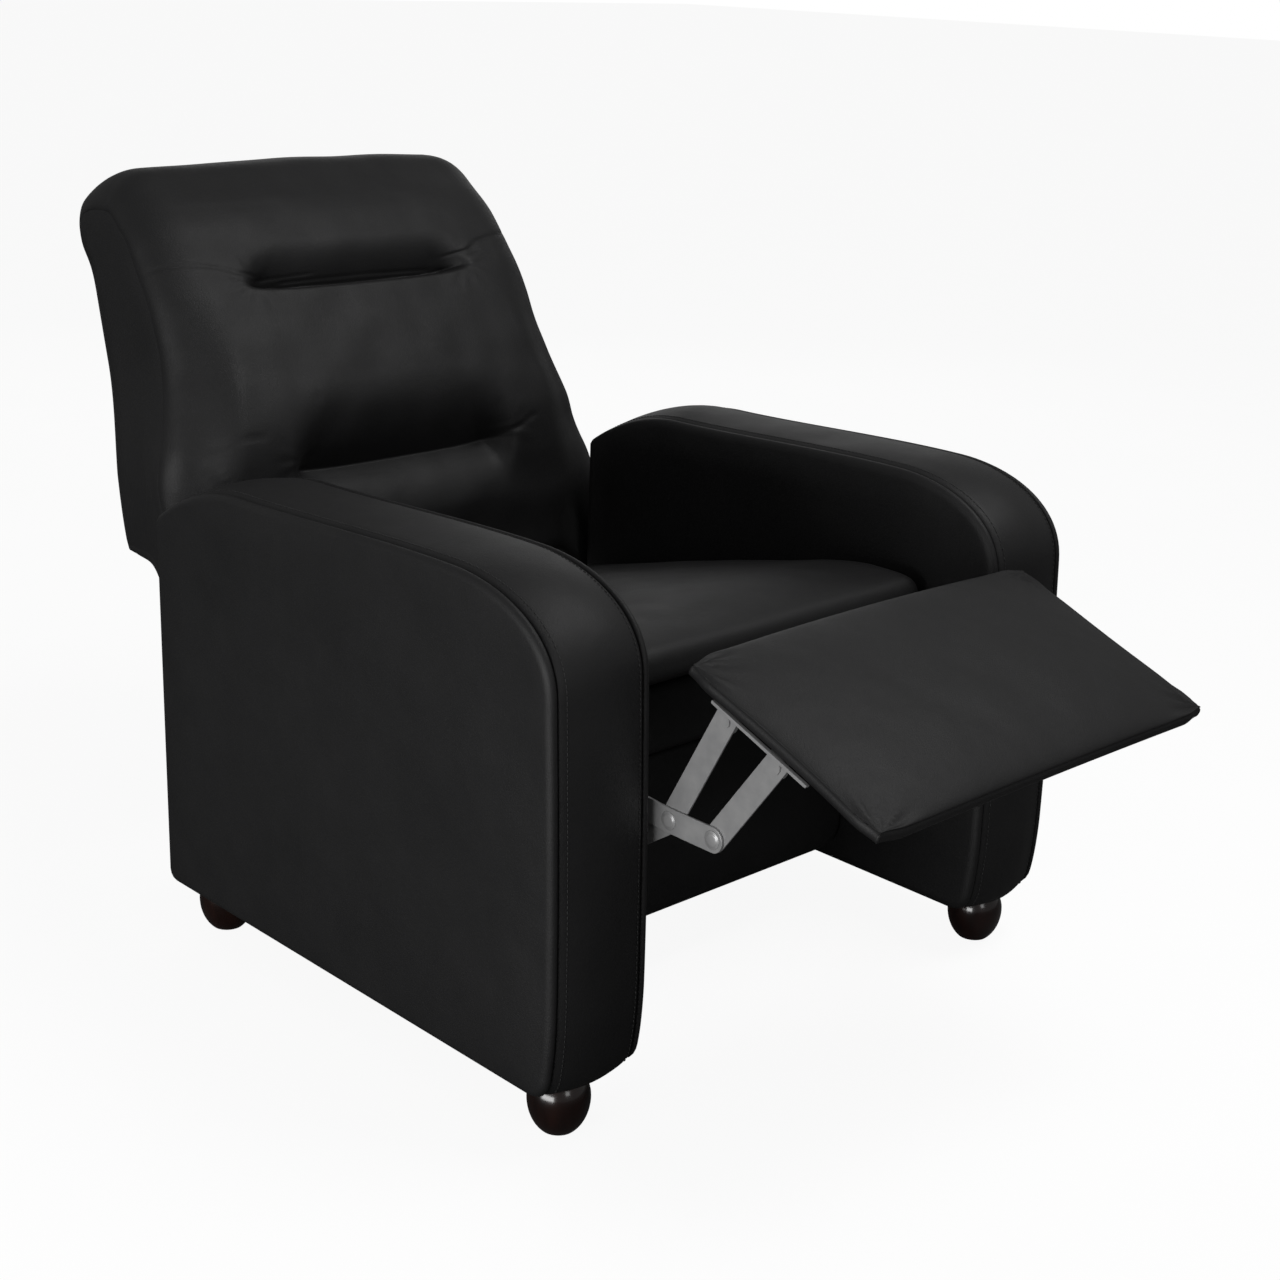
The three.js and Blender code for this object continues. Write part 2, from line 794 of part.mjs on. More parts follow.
function backChannel(x, up) {
  const along = 1 - smooth(channelHalf - channelFade, channelHalf + channelFade, Math.abs(x));
  const dent = (height, depth, spread) => depth * Math.exp(-(((up - height) / spread) ** 2));
  return (
    along *
    (dent(upperChannelHeight, upperChannelDepth, upperChannelSpread) +
      dent(lowerChannelHeight, lowerChannelDepth, lowerChannelSpread))
  );
}

function backBracketPath() {
  const rearwards = -backCover - gap - backRailDepth / 2;
  const toe = [reclinePivot[0] - toeReach, reclinePivot[1] - toeDrop];
  const entry = fromFrame(backFrame, rearwards, bracketEntry);
  const top = fromFrame(backFrame, rearwards, bracketTop);
  return [toe, reclinePivot, entry, top];
}

// A solid drawn in the chair's frame, turned into the back's own.
function intoBack(piece) {
  return piece
    .translate([0, -backFrame.position.y, -backFrame.position.z])
    .rotate([backTilt, 0, 0]);
}

function addBack() {
  const outline = backOutline();
  const seat = -backCover - gap;
  const fade = [-1, 0, 1].map((share) => channelHalf + share * channelFade);
  const shoulder = backTopHalf - backSoftening;
  const inner = [0, channelHalf / 2, ...fade, (channelHalf + shoulder) / 2];
  const stations = acrossStations(backTopHalf, backSoftening, inner).map((x) => {
    const held = (y) => 1 - smooth(seat - 2 * backSoftening, seat, y);
    const ring = inset(outline, edgeInset(x, backTopHalf, backSoftening) * backEdgeShare, held);
    const across = 1 - (x / backTopHalf) ** 4;
    const outwards = smooth(inner[inner.length - 1], shoulder, Math.abs(x));
    const formed = ring.map(([y, z]) => {
      const [nearShare, farShare] = backFrontShares;
      const front = 1 - smooth(-backDepth * farShare, -backDepth * nearShare, y);
      const swell = backCrown * across * backFullness(z);
      const recess = backRecess * outwards * (1 - smooth(backRecessFoot, backRecessTop, z));
      return [y - front * (swell - recess - backChannel(x, z)), z];
    });
    return [x, formed];
  });
  const cushion = solid(flareBack(loftAcross(stations)));
  const railFace = layer(3)[1] - gap;
  const bracketSlot = [layer(3)[0] + gap, layer(3)[1] - gap];
  const pocket = solid(
    box(
      [-bracketSlot[0], bracketSlot[0]],
      [seat - backRailDepth - 2 * gap, 0],
      [backRailFoot - 2 * gap, backRailTop + 2 * gap],
    ),
  );
  let body = cushion.subtract(pocket);
  sides.forEach(([, sign]) => {
    const slot = plate(
      backBracketPath(),
      bracketRadius + 2 * gap,
      sign * bracketSlot[0],
      sign * bracketSlot[1],
    );
    body = body.subtract(intoBack(slot));
  });
  place("back_cushion", body, leatherette, backFrame);

  const coverHalf = backTopHalf - backCoverInset;
  const coverRing = (amount) => {
    const shape = new THREE.Shape();
    const w = coverHalf - amount;
    const r = backSoftening;
    const low = backCoverFoot + amount;
    const high = backCoverTop - amount;
    const taperFoot = Math.max(backTaperFoot, low + r);
    shape.moveTo(w, taperFoot);
    shape.lineTo(w, high);
    shape.lineTo(-w, high);
    shape.lineTo(-w, taperFoot);
    shape.lineTo(-w, low + r);
    shape.absarc(-w + r, low + r, r, Math.PI, 1.5 * Math.PI);
    shape.lineTo(w - r, low);
    shape.absarc(w - r, low + r, r, 1.5 * Math.PI, 2 * Math.PI);
    return shape.getPoints(5).reverse();
  };
  const soft = backCover / 3;
  const coverRings = [
    [-backCover, 0],
    [-soft, 0],
    [-soft / 4, soft / 2],
    [0, soft * 1.4],
  ].map(([y, amount]) => coverRing(amount).map((p) => new THREE.Vector3(p.x, y, p.y)));
  place("back_rear_cover", flareBack(loft(coverRings)), leatherette, backFrame);

  const depth = [seat - gap - backRailDepth, seat - gap];
  sides.forEach(([side, sign]) => {
    const across = [sign * railFace, sign * (railFace - backRailWidth)];
    place(`${side}_back_rail`, box(across, depth, [backRailFoot, backRailTop]), timber, backFrame);
  });
  const between = railFace - backRailWidth - gap;
  const cross = (name, low) =>
    place(name, box([-between, between], depth, [low, low + backCrossRail]), timber, backFrame);
  cross("back_bottom_rail", backRailFoot);
  cross("back_top_rail", backRailTop - backCrossRail);
}

// Footrest: its own y runs forwards, so its points are turned round on the way in.

function footrestOutline() {
  const under = footrestBoard - footrestEdge + 2 * gap;
  const steps = 12;
  const top = Array.from({ length: steps + 1 }, (_, i) => [(-footrestLength * i) / steps, 0]);
  return [[0, under], ...top, [-footrestLength, under]];
}

function addFootrest() {
  const outline = footrestOutline();
  const radius = footrestEdge * 2;
  const inner = footrestStationShares.map((share) => share * (footrestHalf - radius));
  const stations = acrossStations(footrestHalf, radius, inner).map((x) => {
    const across = 1 - (x / footrestHalf) ** 4;
    const bow = footrestBow * (1 - (x / footrestHalf) ** 2);
    const ring = outline.map(([y, z]) => {
      const share = -y / footrestLength;
      const along = Math.sin(Math.PI * THREE.MathUtils.clamp(share, 0, 1)) ** 0.55;
      const upper = z > -footrestEdge * 0.2 ? 1 : 0;
      const rearwards = (1 - share) * bow;
      return [y + rearwards, z + upper * (footrestCrown * across * along - 1)];
    });
    return [x, ring];
  });
  const pad = loftAcross(stations);
  const points = pad.getAttribute("position");
  for (let i = 0; i < points.count; i++) {
    const share = -points.getY(i) / footrestLength;
    const pull = footrestDrawIn * Math.sin(Math.PI * THREE.MathUtils.clamp(share, 0, 1));
    points.setX(i, points.getX(i) * (1 - pull / footrestHalf));
  }
  place("footrest_pad", pad, leatherette, footrestFrame);

  const boardHalf = footrestHalf - footrestDrawIn - footrestBoardInset;
  const board = [-footrestLength + footrestBoardInset, -footrestBoardInset];
  const boardTop = -footrestEdge + footrestBoard;
  place(
    "footrest_board",
    box([-boardHalf, boardHalf], board, [-footrestEdge, boardTop]),
    timber,
    footrestFrame,
  );
  const [earOuter, earInner] = layer(5);
  const top = -footrestEdge - gap;
  sides.forEach(([side, sign]) => {
    const flange = solid(
      box(
        [sign * earOuter, sign * (earOuter - bracketWidth)],
        [-bracketFront, -bracketRear],
        [top - steel, top],
      ),
    );
    const ears = [rearEar, frontEar].map((y, i) => {
      const pivot = [-y, -footrestEdge - earDrop];
      const root = [-y, top - steel / 2 - stripRadius];
      const ear = bar(root, pivot, stripRadius, sign * earOuter, sign * earInner);
      const radius = i === 0 ? pinRadius : openPinRadius;
      const tip = layer(4)[0] + gap;
      const pin = disc(pivot, radius, sign * earInner, sign * (tip + headThickness));
      const head = disc(pivot, headRadius + i, sign * tip, sign * (tip + headThickness));
      return unite([ear, pin, head]);
    });
    place(`${side}_footrest_bracket`, unite([flange, ...ears]), zincSteel, footrestFrame);
  });
}

// Steel links

const crossPivot = [foldPivot[0] - carrierReach, foldPivot[1] - carrierDrop];
const tipPivot = [crossPivot[0] - tipReach, crossPivot[1] - tipDrop];
const rearEarPivot = fromFrame(footrestFrame, -rearEar, -footrestEdge - earDrop);
const frontEarPivot = fromFrame(footrestFrame, -frontEar, -footrestEdge - earDrop);
const tailPivot = [
  crossPivot[0] + tailLength * Math.cos(radians(tailAngle)),
  crossPivot[1] + tailLength * Math.sin(radians(tailAngle)),
];
const rearLinkPivot = [foldPivot[0] + rearLinkSetback, foldPivot[1] - rearLinkDrop];
const toePivot = [reclinePivot[0] - toeReach, reclinePivot[1] - toeDrop];

// A rivet that belongs to one strip: it runs through the next layer inwards and ends in a head.
function rivet(point, sign, own, radius = pinRadius) {
  const shank = layer(own + 1)[1] - gap;
  return unite([
    disc(point, radius, sign * layer(own)[0], sign * (shank - headThickness)),
    disc(point, headRadius, sign * shank, sign * (shank - headThickness)),
  ]);
}

function outerHead(point, sign, own) {
  const face = layer(own)[0];
  return disc(point, headRadius, sign * (face + headThickness), sign * (face - steel / 2));
}

function turned(point, centre, degrees) {
  const angle = radians(degrees);
  const y = point[0] - centre[0];
  const z = point[1] - centre[1];
  return [
    centre[0] + y * Math.cos(angle) - z * Math.sin(angle),
    centre[1] + y * Math.sin(angle) + z * Math.cos(angle),
  ];
}

// The slot that a pin sweeps while the chair comes upright; at gives its place at a share of that.
function sweptSlot(at, radius, from, to) {
  const steps = 2;
  const places = Array.from({ length: steps + 1 }, (_, i) => at(i / steps));
  return plate(places, radius, from, to);
}

// Where the back's toe pin is at a share of the way from reclined to upright.
function toeAt(share) {
  const hinge = turned(reclinePivot, tiltPivot, share * seatTravel);
  const shifted = [toePivot[0] + hinge[0] - reclinePivot[0], toePivot[1] + hinge[1] - reclinePivot[1]];
  return turned(shifted, hinge, share * (seatTravel + backTravel));
}

// The two ends of the bar that the toe pin slides along, below its path.
function toeShelf() {
  const [start, end] = [toeAt(0), toeAt(1)];
  const run = Math.hypot(end[0] - start[0], end[1] - start[1]);
  const way = [(end[0] - start[0]) / run, (end[1] - start[1]) / run];
  const below = pinRadius + shelfSlack + shelfRadius;
  return [
    [start[0] + way[1] * below, start[1] - way[0] * below],
    [end[0] + way[0] * pinRadius + way[1] * below, end[1] + way[1] * pinRadius - way[0] * below],
  ];
}

function addSidePlates(side, sign) {
  const [baseOuter, baseInner] = layer(0).map((x) => sign * x);
  const [seatOuter, seatInner] = layer(2).map((x) => sign * x);
  const away = Math.hypot(foldPivot[0] - tiltPivot[0], foldPivot[1] - tiltPivot[1]);
  const guide = [
    tiltPivot[0] + ((foldPivot[0] - tiltPivot[0]) * guideReach) / away,
    tiltPivot[1] + ((foldPivot[1] - tiltPivot[1]) * guideReach) / away,
  ];
  const cutFrom = baseOuter + sign * overrun;
  const cutTo = baseInner - sign * overrun;

  // Base plate on the arm: tilt pin, a slot for the seat's pin and a shelf under the back's toe pin
  const guideSlot = sweptSlot(
    (share) => turned(guide, tiltPivot, share * seatTravel),
    pinRadius + gap,
    cutFrom,
    cutTo,
  );
  const tiltPin = disc(tiltPivot, pinRadius, baseOuter, seatInner);
  const spacer = disc(tiltPivot, headRadius, baseInner, seatOuter + sign * gap);
  const shelf = plate([tiltPivot, ...toeShelf()], shelfRadius, baseOuter, baseInner);
  const basePlate = plate([guide, tiltPivot], basePlateRadius, baseOuter, baseInner).subtract(guideSlot);
  place(`${side}_base_plate`, unite([basePlate, shelf, tiltPin, spacer]), zincSteel);

  // Seat plate: carries the footrest links and the back, and turns on the base plate
  const strip = unite([
    plate([foldPivot, tiltPivot, reclinePivot], plateRadius, seatOuter, seatInner),
    plate([foldPivot, rearLinkPivot], plateLobe, seatOuter, seatInner),
  ]);
  const drilled = drill(strip, tiltPivot, pinRadius + gap, seatOuter, seatInner);
  const guidePin = disc(guide, pinRadius, seatInner, baseOuter);
  const pins = [foldPivot, rearLinkPivot, reclinePivot].map((point) => rivet(point, sign, 2));
  place(`${side}_seat_plate`, unite([drilled, guidePin, ...pins]), zincSteel);

  // Back bracket: hinge hole, guide pin at its toe, and the arm up into the back's frame
  const [bracketOuter, bracketInner] = layer(3).map((x) => sign * x);
  const bracket = plate(backBracketPath(), bracketRadius, bracketOuter, bracketInner);
  const toePin = disc(toePivot, pinRadius, bracketInner, baseOuter);
  place(
    `${side}_back_bracket`,
    drill(bracket, reclinePivot, pinRadius + gap, bracketOuter, bracketInner).add(toePin),
    zincSteel,
  );
}

function addFootrestLinks(side, sign) {
  const [carrierOuter, carrierInner] = layer(3).map((x) => sign * x);
  const [leverOuter, leverInner] = layer(4).map((x) => sign * x);
  const carrier = plate([foldPivot, crossPivot, tipPivot], stripRadius, carrierOuter, carrierInner);
  place(
    `${side}_carrier_link`,
    unite([
      drill(carrier, foldPivot, pinRadius + gap, carrierOuter, carrierInner),
      rivet(crossPivot, sign, 3),
      rivet(tipPivot, sign, 3),
      outerHead(crossPivot, sign, 3),
      outerHead(tipPivot, sign, 3),
    ]),
    zincSteel,
  );
  let lever = plate([rearEarPivot, crossPivot, tailPivot], stripRadius, leverOuter, leverInner);
  lever = drill(lever, rearEarPivot, pinRadius + gap, leverOuter, leverInner);
  lever = drill(lever, crossPivot, pinRadius + gap, leverOuter, leverInner);
  lever = drill(lever, tailPivot, pinRadius + gap + rearLinkSlack, leverOuter, leverInner);
  place(`${side}_long_lever`, lever, zincSteel);

  let front = plate([tipPivot, frontEarPivot], stripRadius, leverOuter, leverInner);
  front = drill(front, tipPivot, pinRadius + gap, leverOuter, leverInner);
  front = drill(front, frontEarPivot, openPinRadius + openSlack + gap, leverOuter, leverInner);
  place(`${side}_front_link`, front, zincSteel);

  const rear = plate([rearLinkPivot, tailPivot], stripRadius, carrierOuter, carrierInner);
  place(
    `${side}_rear_link`,
    unite([
      drill(rear, rearLinkPivot, pinRadius + gap, carrierOuter, carrierInner),
      rivet(tailPivot, sign, 3),
    ]),
    zincSteel,
  );
}

sides.forEach(([side, sign]) => {
  addArm(side, sign);
  addSidePlates(side, sign);
  addFootrestLinks(side, sign);
});
addBase();
addSeat();
addBack();
addFootrest();

// The origin is the bottom centre of the reclined chair's box.
chair.updateMatrixWorld(true);
const bounds = new THREE.Box3().setFromObject(chair, true);
chair.position.y = -(bounds.min.y + bounds.max.y) / 2;

export default chair;
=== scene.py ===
"""A push-back recliner armchair in dark leatherette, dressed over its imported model.

Lengths in this script are millimetres in the chair's own frame, where y = 0 is the rear face
of the arms, unless a name ends in _m. place() turns them into metres in the row's frame.
A piece in a tilted frame of its own, such as the seat's, has its lengths in that frame.
"""
import json
import math
from itertools import product

import bmesh
import bpy
import numpy as np
from mathutils import Matrix, Vector
from mathutils.geometry import delaunay_2d_cdt


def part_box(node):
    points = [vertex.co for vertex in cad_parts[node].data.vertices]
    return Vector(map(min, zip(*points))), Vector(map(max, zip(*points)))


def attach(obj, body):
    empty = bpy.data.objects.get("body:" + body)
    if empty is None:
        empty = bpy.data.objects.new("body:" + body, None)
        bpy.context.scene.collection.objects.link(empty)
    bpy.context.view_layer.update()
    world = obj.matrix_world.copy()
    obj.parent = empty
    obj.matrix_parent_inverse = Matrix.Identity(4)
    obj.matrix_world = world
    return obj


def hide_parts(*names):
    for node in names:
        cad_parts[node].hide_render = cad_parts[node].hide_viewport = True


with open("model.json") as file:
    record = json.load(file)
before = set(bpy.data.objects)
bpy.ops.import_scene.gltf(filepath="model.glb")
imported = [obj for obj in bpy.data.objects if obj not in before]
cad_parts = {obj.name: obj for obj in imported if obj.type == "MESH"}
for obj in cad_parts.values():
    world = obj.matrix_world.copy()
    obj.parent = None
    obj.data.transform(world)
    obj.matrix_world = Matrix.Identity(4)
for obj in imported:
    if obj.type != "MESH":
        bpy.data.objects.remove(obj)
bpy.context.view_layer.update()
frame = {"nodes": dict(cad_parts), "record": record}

rear_face_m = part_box("right_arm_outer_panel")[1][1]
SIDES = (("right", -1), ("left", 1))


# Geometry helpers


def place(points):
    """Millimetres in the chair's frame to metres in the row's frame."""
    points = np.asarray(points, dtype=float) / 1000.0
    points[..., 1] += rear_face_m
    return points


def tilted(origin, degrees):
    """A function from a tilted frame's (x, y, z) to the chair's, turned about +X."""
    turn = math.radians(degrees)
    cos, sin = math.cos(turn), math.sin(turn)

    def apply(points):
        points = np.asarray(points, dtype=float)
        x, y, z = points[..., 0], points[..., 1], points[..., 2]
        return np.stack([x, origin[0] + y * cos - z * sin, origin[1] + y * sin + z * cos], axis=-1)

    return apply


def smooth(low, high, value):
    """A soft step from 0 at low to 1 at high."""
    share = np.clip((np.asarray(value, dtype=float) - low) / (high - low), 0.0, 1.0)
    return share * share * (3 - 2 * share)


def spline(points, steps):
    """Catmull-Rom through the points, the same curve as the part's own."""
    points = np.asarray(points, dtype=float)
    last = len(points) - 1
    result = []
    for t in np.linspace(0, last, steps + 1):
        i = min(int(t), last - 1)
        w = t - i
        p0, p1 = points[max(i - 1, 0)], points[i]
        p2, p3 = points[i + 1], points[min(i + 2, last)]
        v0, v1 = (p2 - p0) / 2, (p3 - p1) / 2
        result.append(
            (2 * p1 - 2 * p2 + v0 + v1) * w**3 + (-3 * p1 + 3 * p2 - 2 * v0 - v1) * w**2 + v0 * w + p1
        )
    return np.array(result)


def bezier(points, steps):
    """A Bezier curve of any degree, without its last point."""
    t = np.linspace(0, 1, steps, endpoint=False)[:, None]
    levels = [np.asarray(point, dtype=float) for point in points]
    while len(levels) > 1:
        levels = [a * (1 - t) + b * t for a, b in zip(levels, levels[1:])]
    return levels[0]


def turns(start, end, count):
    """Even angles in radians between two in degrees."""
    return np.radians(np.linspace(start, end, count))


def arc(centre, radius, start, end, steps):
    """Points on an ellipse between two angles in degrees."""
    turn = turns(start, end, steps)
    across = centre[0] + radius[0] * np.cos(turn)
    return np.stack([across, centre[1] + radius[1] * np.sin(turn)], axis=-1)


def running(steps):
    """0 and the running sums of the steps."""
    return np.concatenate([[0], np.cumsum(steps)])


def spread(points, along, count):
    """Points at even places of a measure that grows along their path."""
    at = np.linspace(0, along[-1], count)
    return np.stack([np.interp(at, along, column) for column in points.T], axis=-1)


def resample(points, step, closed=False):
    """Points at even distances along a path."""
    points = np.asarray(points, dtype=float)
    if closed:
        points = np.vstack([points, points[:1]])
    length = running(np.linalg.norm(np.diff(points, axis=0), axis=1))
    result = spread(points, length, max(2, int(round(length[-1] / step))) + 1)
    return result[:-1] if closed else result


def unit(vectors):
    """Vectors drawn to length 1."""
    return vectors / np.maximum(np.linalg.norm(vectors, axis=-1, keepdims=True), 1e-9)


def normals_2d(points, closed=False):
    """Unit normals to the right of the way along a path in (y, z)."""
    if closed:
        ahead, behind = np.roll(points, -1, axis=0), np.roll(points, 1, axis=0)
    else:
        ahead = np.vstack([points[1:], points[-1:]])
        behind = np.vstack([points[:1], points[:-1]])
    way = unit(ahead - behind)
    return np.stack([way[:, 1], -way[:, 0]], axis=-1)


def outward_normals(outline):
    """Unit normals that point out of a closed outline."""
    normal = normals_2d(outline, closed=True)
    y, z = outline.T
    area = np.sum(y * np.roll(z, -1) - np.roll(y, -1) * z)
    return -normal if area < 0 else normal


def at_x(x, flat):
    """Points (y, z) as (x, y, z)."""
    return np.column_stack([np.broadcast_to(x, len(flat)), flat])


def lattice(count, seed):
    """A seeded smooth noise in three dimensions, as a sum of tilted waves."""
    generator = np.random.default_rng(seed)
    directions = generator.normal(size=(count, 3))
    directions /= np.linalg.norm(directions, axis=1, keepdims=True)
    phases = generator.uniform(0, 2 * np.pi, count)
    stretch = generator.uniform(0.6, 1.7, count)

    def value(points, size):
        waves = np.asarray(points) @ (directions * stretch[:, None]).T * (2 * np.pi / size) + phases
        return np.sin(waves).sum(axis=-1) / math.sqrt(count)

    return value


noise_a = lattice(14, 11)
noise_b = lattice(14, 23)
noise_c = lattice(18, 37)


def mesh_object(name, points, faces, material):
    """A smooth-shaded object from points in the chair's frame, with its faces turned outwards."""
    mesh = bpy.data.meshes.new(name)
    mesh.from_pydata([tuple(point) for point in place(points)], [], [tuple(face) for face in faces])
    mesh.validate()
    bm = bmesh.new()
    bm.from_mesh(mesh)
    bmesh.ops.recalc_face_normals(bm, faces=bm.faces)
    bm.to_mesh(mesh)
    bm.free()
    mesh.polygons.foreach_set("use_smooth", [True] * len(mesh.polygons))
    obj = bpy.data.objects.new(name, mesh)
    bpy.context.scene.collection.objects.link(obj)
    mesh.materials.append(material)
    return obj


def grid_faces(rows, columns, close_columns=False, start=0):
    """The faces of a grid of points that are numbered row by row."""
    faces = []
    for i in range(rows - 1):
        here, below = start + i * columns, start + (i + 1) * columns
        for j in range(columns if close_columns else columns - 1):
            after = (j + 1) % columns
            faces.append((here + j, below + j, below + after, here + after))
    return faces


def tube_faces(rows, columns, start=0):
    """The faces over closed rings of points, with an n-sided face at each end."""
    faces = grid_faces(rows, columns, close_columns=True, start=start)
    faces.append(tuple(range(start, start + columns))[::-1])
    faces.append(tuple(range(start + (rows - 1) * columns, start + rows * columns)))
    return faces


def ring_mesh(name, rings, material):
    """Skins closed rings of equal count."""
    rings = np.asarray(rings)
    return mesh_object(name, rings.reshape(-1, 3), tube_faces(*rings.shape[:2]), material)


def finish_piece(obj, body, nodes=()):
    """Attaches a piece to the empty of its body and hides the nodes it replaces."""
    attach(obj, body)
    if nodes:
        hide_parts(*nodes)


# Materials


class Nodes:
    """Short calls for building a node tree; an underscore stands for a space in a socket's name."""

    def __init__(self, name):
        self.material = bpy.data.materials.new(name)
        self.material.use_nodes = True
        self.tree = self.material.node_tree
        self.shader = self.tree.nodes["Principled BSDF"]
        self.where = self.add("TexCoord").outputs["Object"]

    def put(self, node, values):
        for key, value in values.items():
            node.inputs[key.replace("_", " ")].default_value = value

    def add(self, kind, links=(), **values):
        """A node with its values set, and with the links that the pairs in links name."""
        node = self.tree.nodes.new("ShaderNode" + kind)
        self.put(node, values)
        for socket, source in links:
            self.tree.links.new(source, node.inputs[socket])
        return node

    def set(self, **values):
        self.put(self.shader, values)

    def into(self, socket, source):
        self.tree.links.new(source, self.shader.inputs[socket])

    def noise(self, scale, detail=3.0, distortion=0.0, where=None):
        values = {"Scale": scale, "Detail": detail, "Roughness": 0.55, "Distortion": distortion}
        return self.add("TexNoise", [("Vector", where or self.where)], **values).outputs["Fac"]

    def cells(self, scale):
        """The distance to the edges of a cell pattern."""
        node = self.add("TexVoronoi", [("Vector", self.where)], Scale=scale)
        node.feature = "DISTANCE_TO_EDGE"
        return node.outputs["Distance"]

    def ramp(self, source, stops):
        node = self.add("ValToRGB", [("Fac", source)])
        ramp = node.color_ramp
        while len(ramp.elements) < len(stops):
            ramp.elements.new(0.5)
        for element, (position, colour) in zip(ramp.elements, stops):
            element.position = position
            element.color = (*np.broadcast_to(colour, 3), 1.0)
        return node.outputs["Color"]

    def tint(self, source, low, high):
        """A base colour that follows the source from one colour to another."""
        self.into("Base Color", self.ramp(source, [(0.3, low), (0.7, high)]))

    def mapped(self, source, low, high):
        return self.add("MapRange", [("Value", source)], To_Min=low, To_Max=high).outputs["Result"]

    def stretched(self, scale):
        return self.add("Mapping", [("Vector", self.where)], Scale=scale).outputs["Vector"]

    def bump(self, height, distance, strength=1.0, normal=None):
        links = [("Height", height)]
        if normal is not None:
            links.append(("Normal", normal))
        return self.add("Bump", links, Strength=strength, Distance=distance).outputs["Normal"]


def make_leatherette():
    n = Nodes("leatherette")
    n.tint(n.noise(9.0, detail=4.0), (0.0082, 0.0082, 0.0086), (0.0112, 0.0110, 0.0114))
    n.into("Roughness", n.mapped(n.noise(24.0, detail=5.0), 0.46, 0.60))
    n.set(Specular_IOR_Level=0.38)
    large = n.bump(n.noise(7.0, detail=2.0), 0.004, strength=0.35)
    soft = n.bump(n.noise(38.0, detail=3.0), 0.0012, strength=0.35, normal=large)
    cracks = n.ramp(n.cells(240.0), [(0.0, 0.0), (0.10, 1.0)])
    creases = n.bump(cracks, 0.00012, strength=0.5, normal=soft)
    pores = n.ramp(n.cells(1100.0), [(0.0, 0.0), (0.35, 1.0)])
    n.into("Normal", n.bump(pores, 0.00010, strength=0.55, normal=creases))
    return n.material


def make_thread():
    n = Nodes("thread")
    twist = n.noise(1500.0, detail=1.0, where=n.stretched((1.0, 3.0, 3.0)))
    n.tint(twist, 0.012, 0.03)
    n.into("Normal", n.bump(twist, 0.0001))
    n.set(Roughness=0.6)
    return n.material


def make_steel():
    n = Nodes("zinc_steel")
    n.tint(n.noise(60.0, detail=4.0), (0.36, 0.36, 0.365), (0.44, 0.44, 0.44))
    scratch = n.noise(350.0, detail=2.0, where=n.stretched((1.0, 0.08, 1.0)))
    n.into("Roughness", n.mapped(scratch, 0.30, 0.46))
    n.into("Normal", n.bump(scratch, 0.00006, strength=0.5))
    n.set(Metallic=0.35)
    return n.material


def make_turned_wood():
    n = Nodes("turned_wood")
    rings = n.noise(70.0, detail=3.0, where=n.stretched((1.0, 1.0, 0.12)))
    n.tint(rings, (0.006, 0.0028, 0.0024), (0.016, 0.006, 0.0045))
    n.into("Normal", n.bump(n.noise(140.0, detail=2.0), 0.0001, strength=0.4))
    n.set(Roughness=0.22, Coat_Weight=0.5, Coat_Roughness=0.12)
    return n.material


def make_timber():
    n = Nodes("timber")
    grain = n.noise(26.0, detail=6.0, distortion=1.2, where=n.stretched((1.0, 0.10, 1.0)))
    colours = [(0.25, (0.36, 0.22, 0.11)), (0.55, (0.52, 0.36, 0.20)), (0.8, (0.60, 0.44, 0.27))]
    n.into("Base Color", n.ramp(grain, colours))
    n.into("Normal", n.bump(grain, 0.0005, strength=0.6))
    n.set(Roughness=0.7)
    return n.material


def make_non_woven():
    n = Nodes("non_woven")
    fibres = n.noise(600.0, detail=4.0, distortion=2.0)
    n.tint(fibres, 0.006, 0.016)
    n.into("Normal", n.bump(fibres, 0.0003, strength=0.7))
    n.set(Roughness=0.95)
    return n.material


leatherette = make_leatherette()
thread = make_thread()
steel = make_steel()
turned_wood = make_turned_wood()
timber = make_timber()
non_woven = make_non_woven()

SLOT_MATERIALS = {"leatherette": leatherette, "timber": timber, "turned_wood": turned_wood}
SLOT_MATERIALS |= {"zinc_steel": steel, "non_woven": non_woven}
for entry in frame["record"]["subparts"]:
    node = frame["nodes"][entry["node"]]
    node.data.materials.clear()
    node.data.materials.append(SLOT_MATERIALS[entry["material_slot"]])


# Arms

ARM_OUTER, ARM_INNER = 375.0, 252.0  # the faces' distance from the middle
PANEL, ARM_FOOT = 10.0, 60.0  # thickness of a side panel, height of the underside
ARM_TOE, PANEL_TOE = -620.0, -610.0  # where the underside ends in front
ARM_STEP = 7.0  # between the points of an outline
# Control points (y, z) from the rear foot over the top to the front foot, with their steps.
ARM_CURVES = (
    (((0, ARM_FOOT), (0, 482)), 30),
    (((0, 482), (-25.5, 500.5), (-82.5, 534.2), (-150, 535)), 30),
    (((-150, 535), (-256.2, 536.1), (-397.8, 547.65), (-504, 546)), 40),
    (((-504, 546), (-574.4, 543.3), (-639.2, 515.4), (-642, 456)), 36),
    (((-642, 456), (-651, 258), (-651, 146)), 36),
    (((-651, 146), (-650, 108), (-646, 86)), 12),
    (((-646, 86), (-643, ARM_FOOT + 1), (ARM_TOE, ARM_FOOT)), 12),
)
# The band's rows lie at these distances in from a seam; its edges are sewn down by BAND_DIP.
BAND_STEPS = (0.0, 0.5, 1.3, 2.4, 4.0, 6.2, 9.0, 13.0, 18.0, 25.0, 33.0, 42.0)
BAND_CLEAR, BAND_DIP, BAND_ROLL_WIDTH, BAND_ROLL, BAND_DOME, BAND_DEPTH = 0.4, 3.8, 9.0, 3.4, 8.2, 17.0
PANEL_CENTRE = np.array([-320.0, 290.0])
PANEL_CORNER, PANEL_HEM = 14.0, 12.0
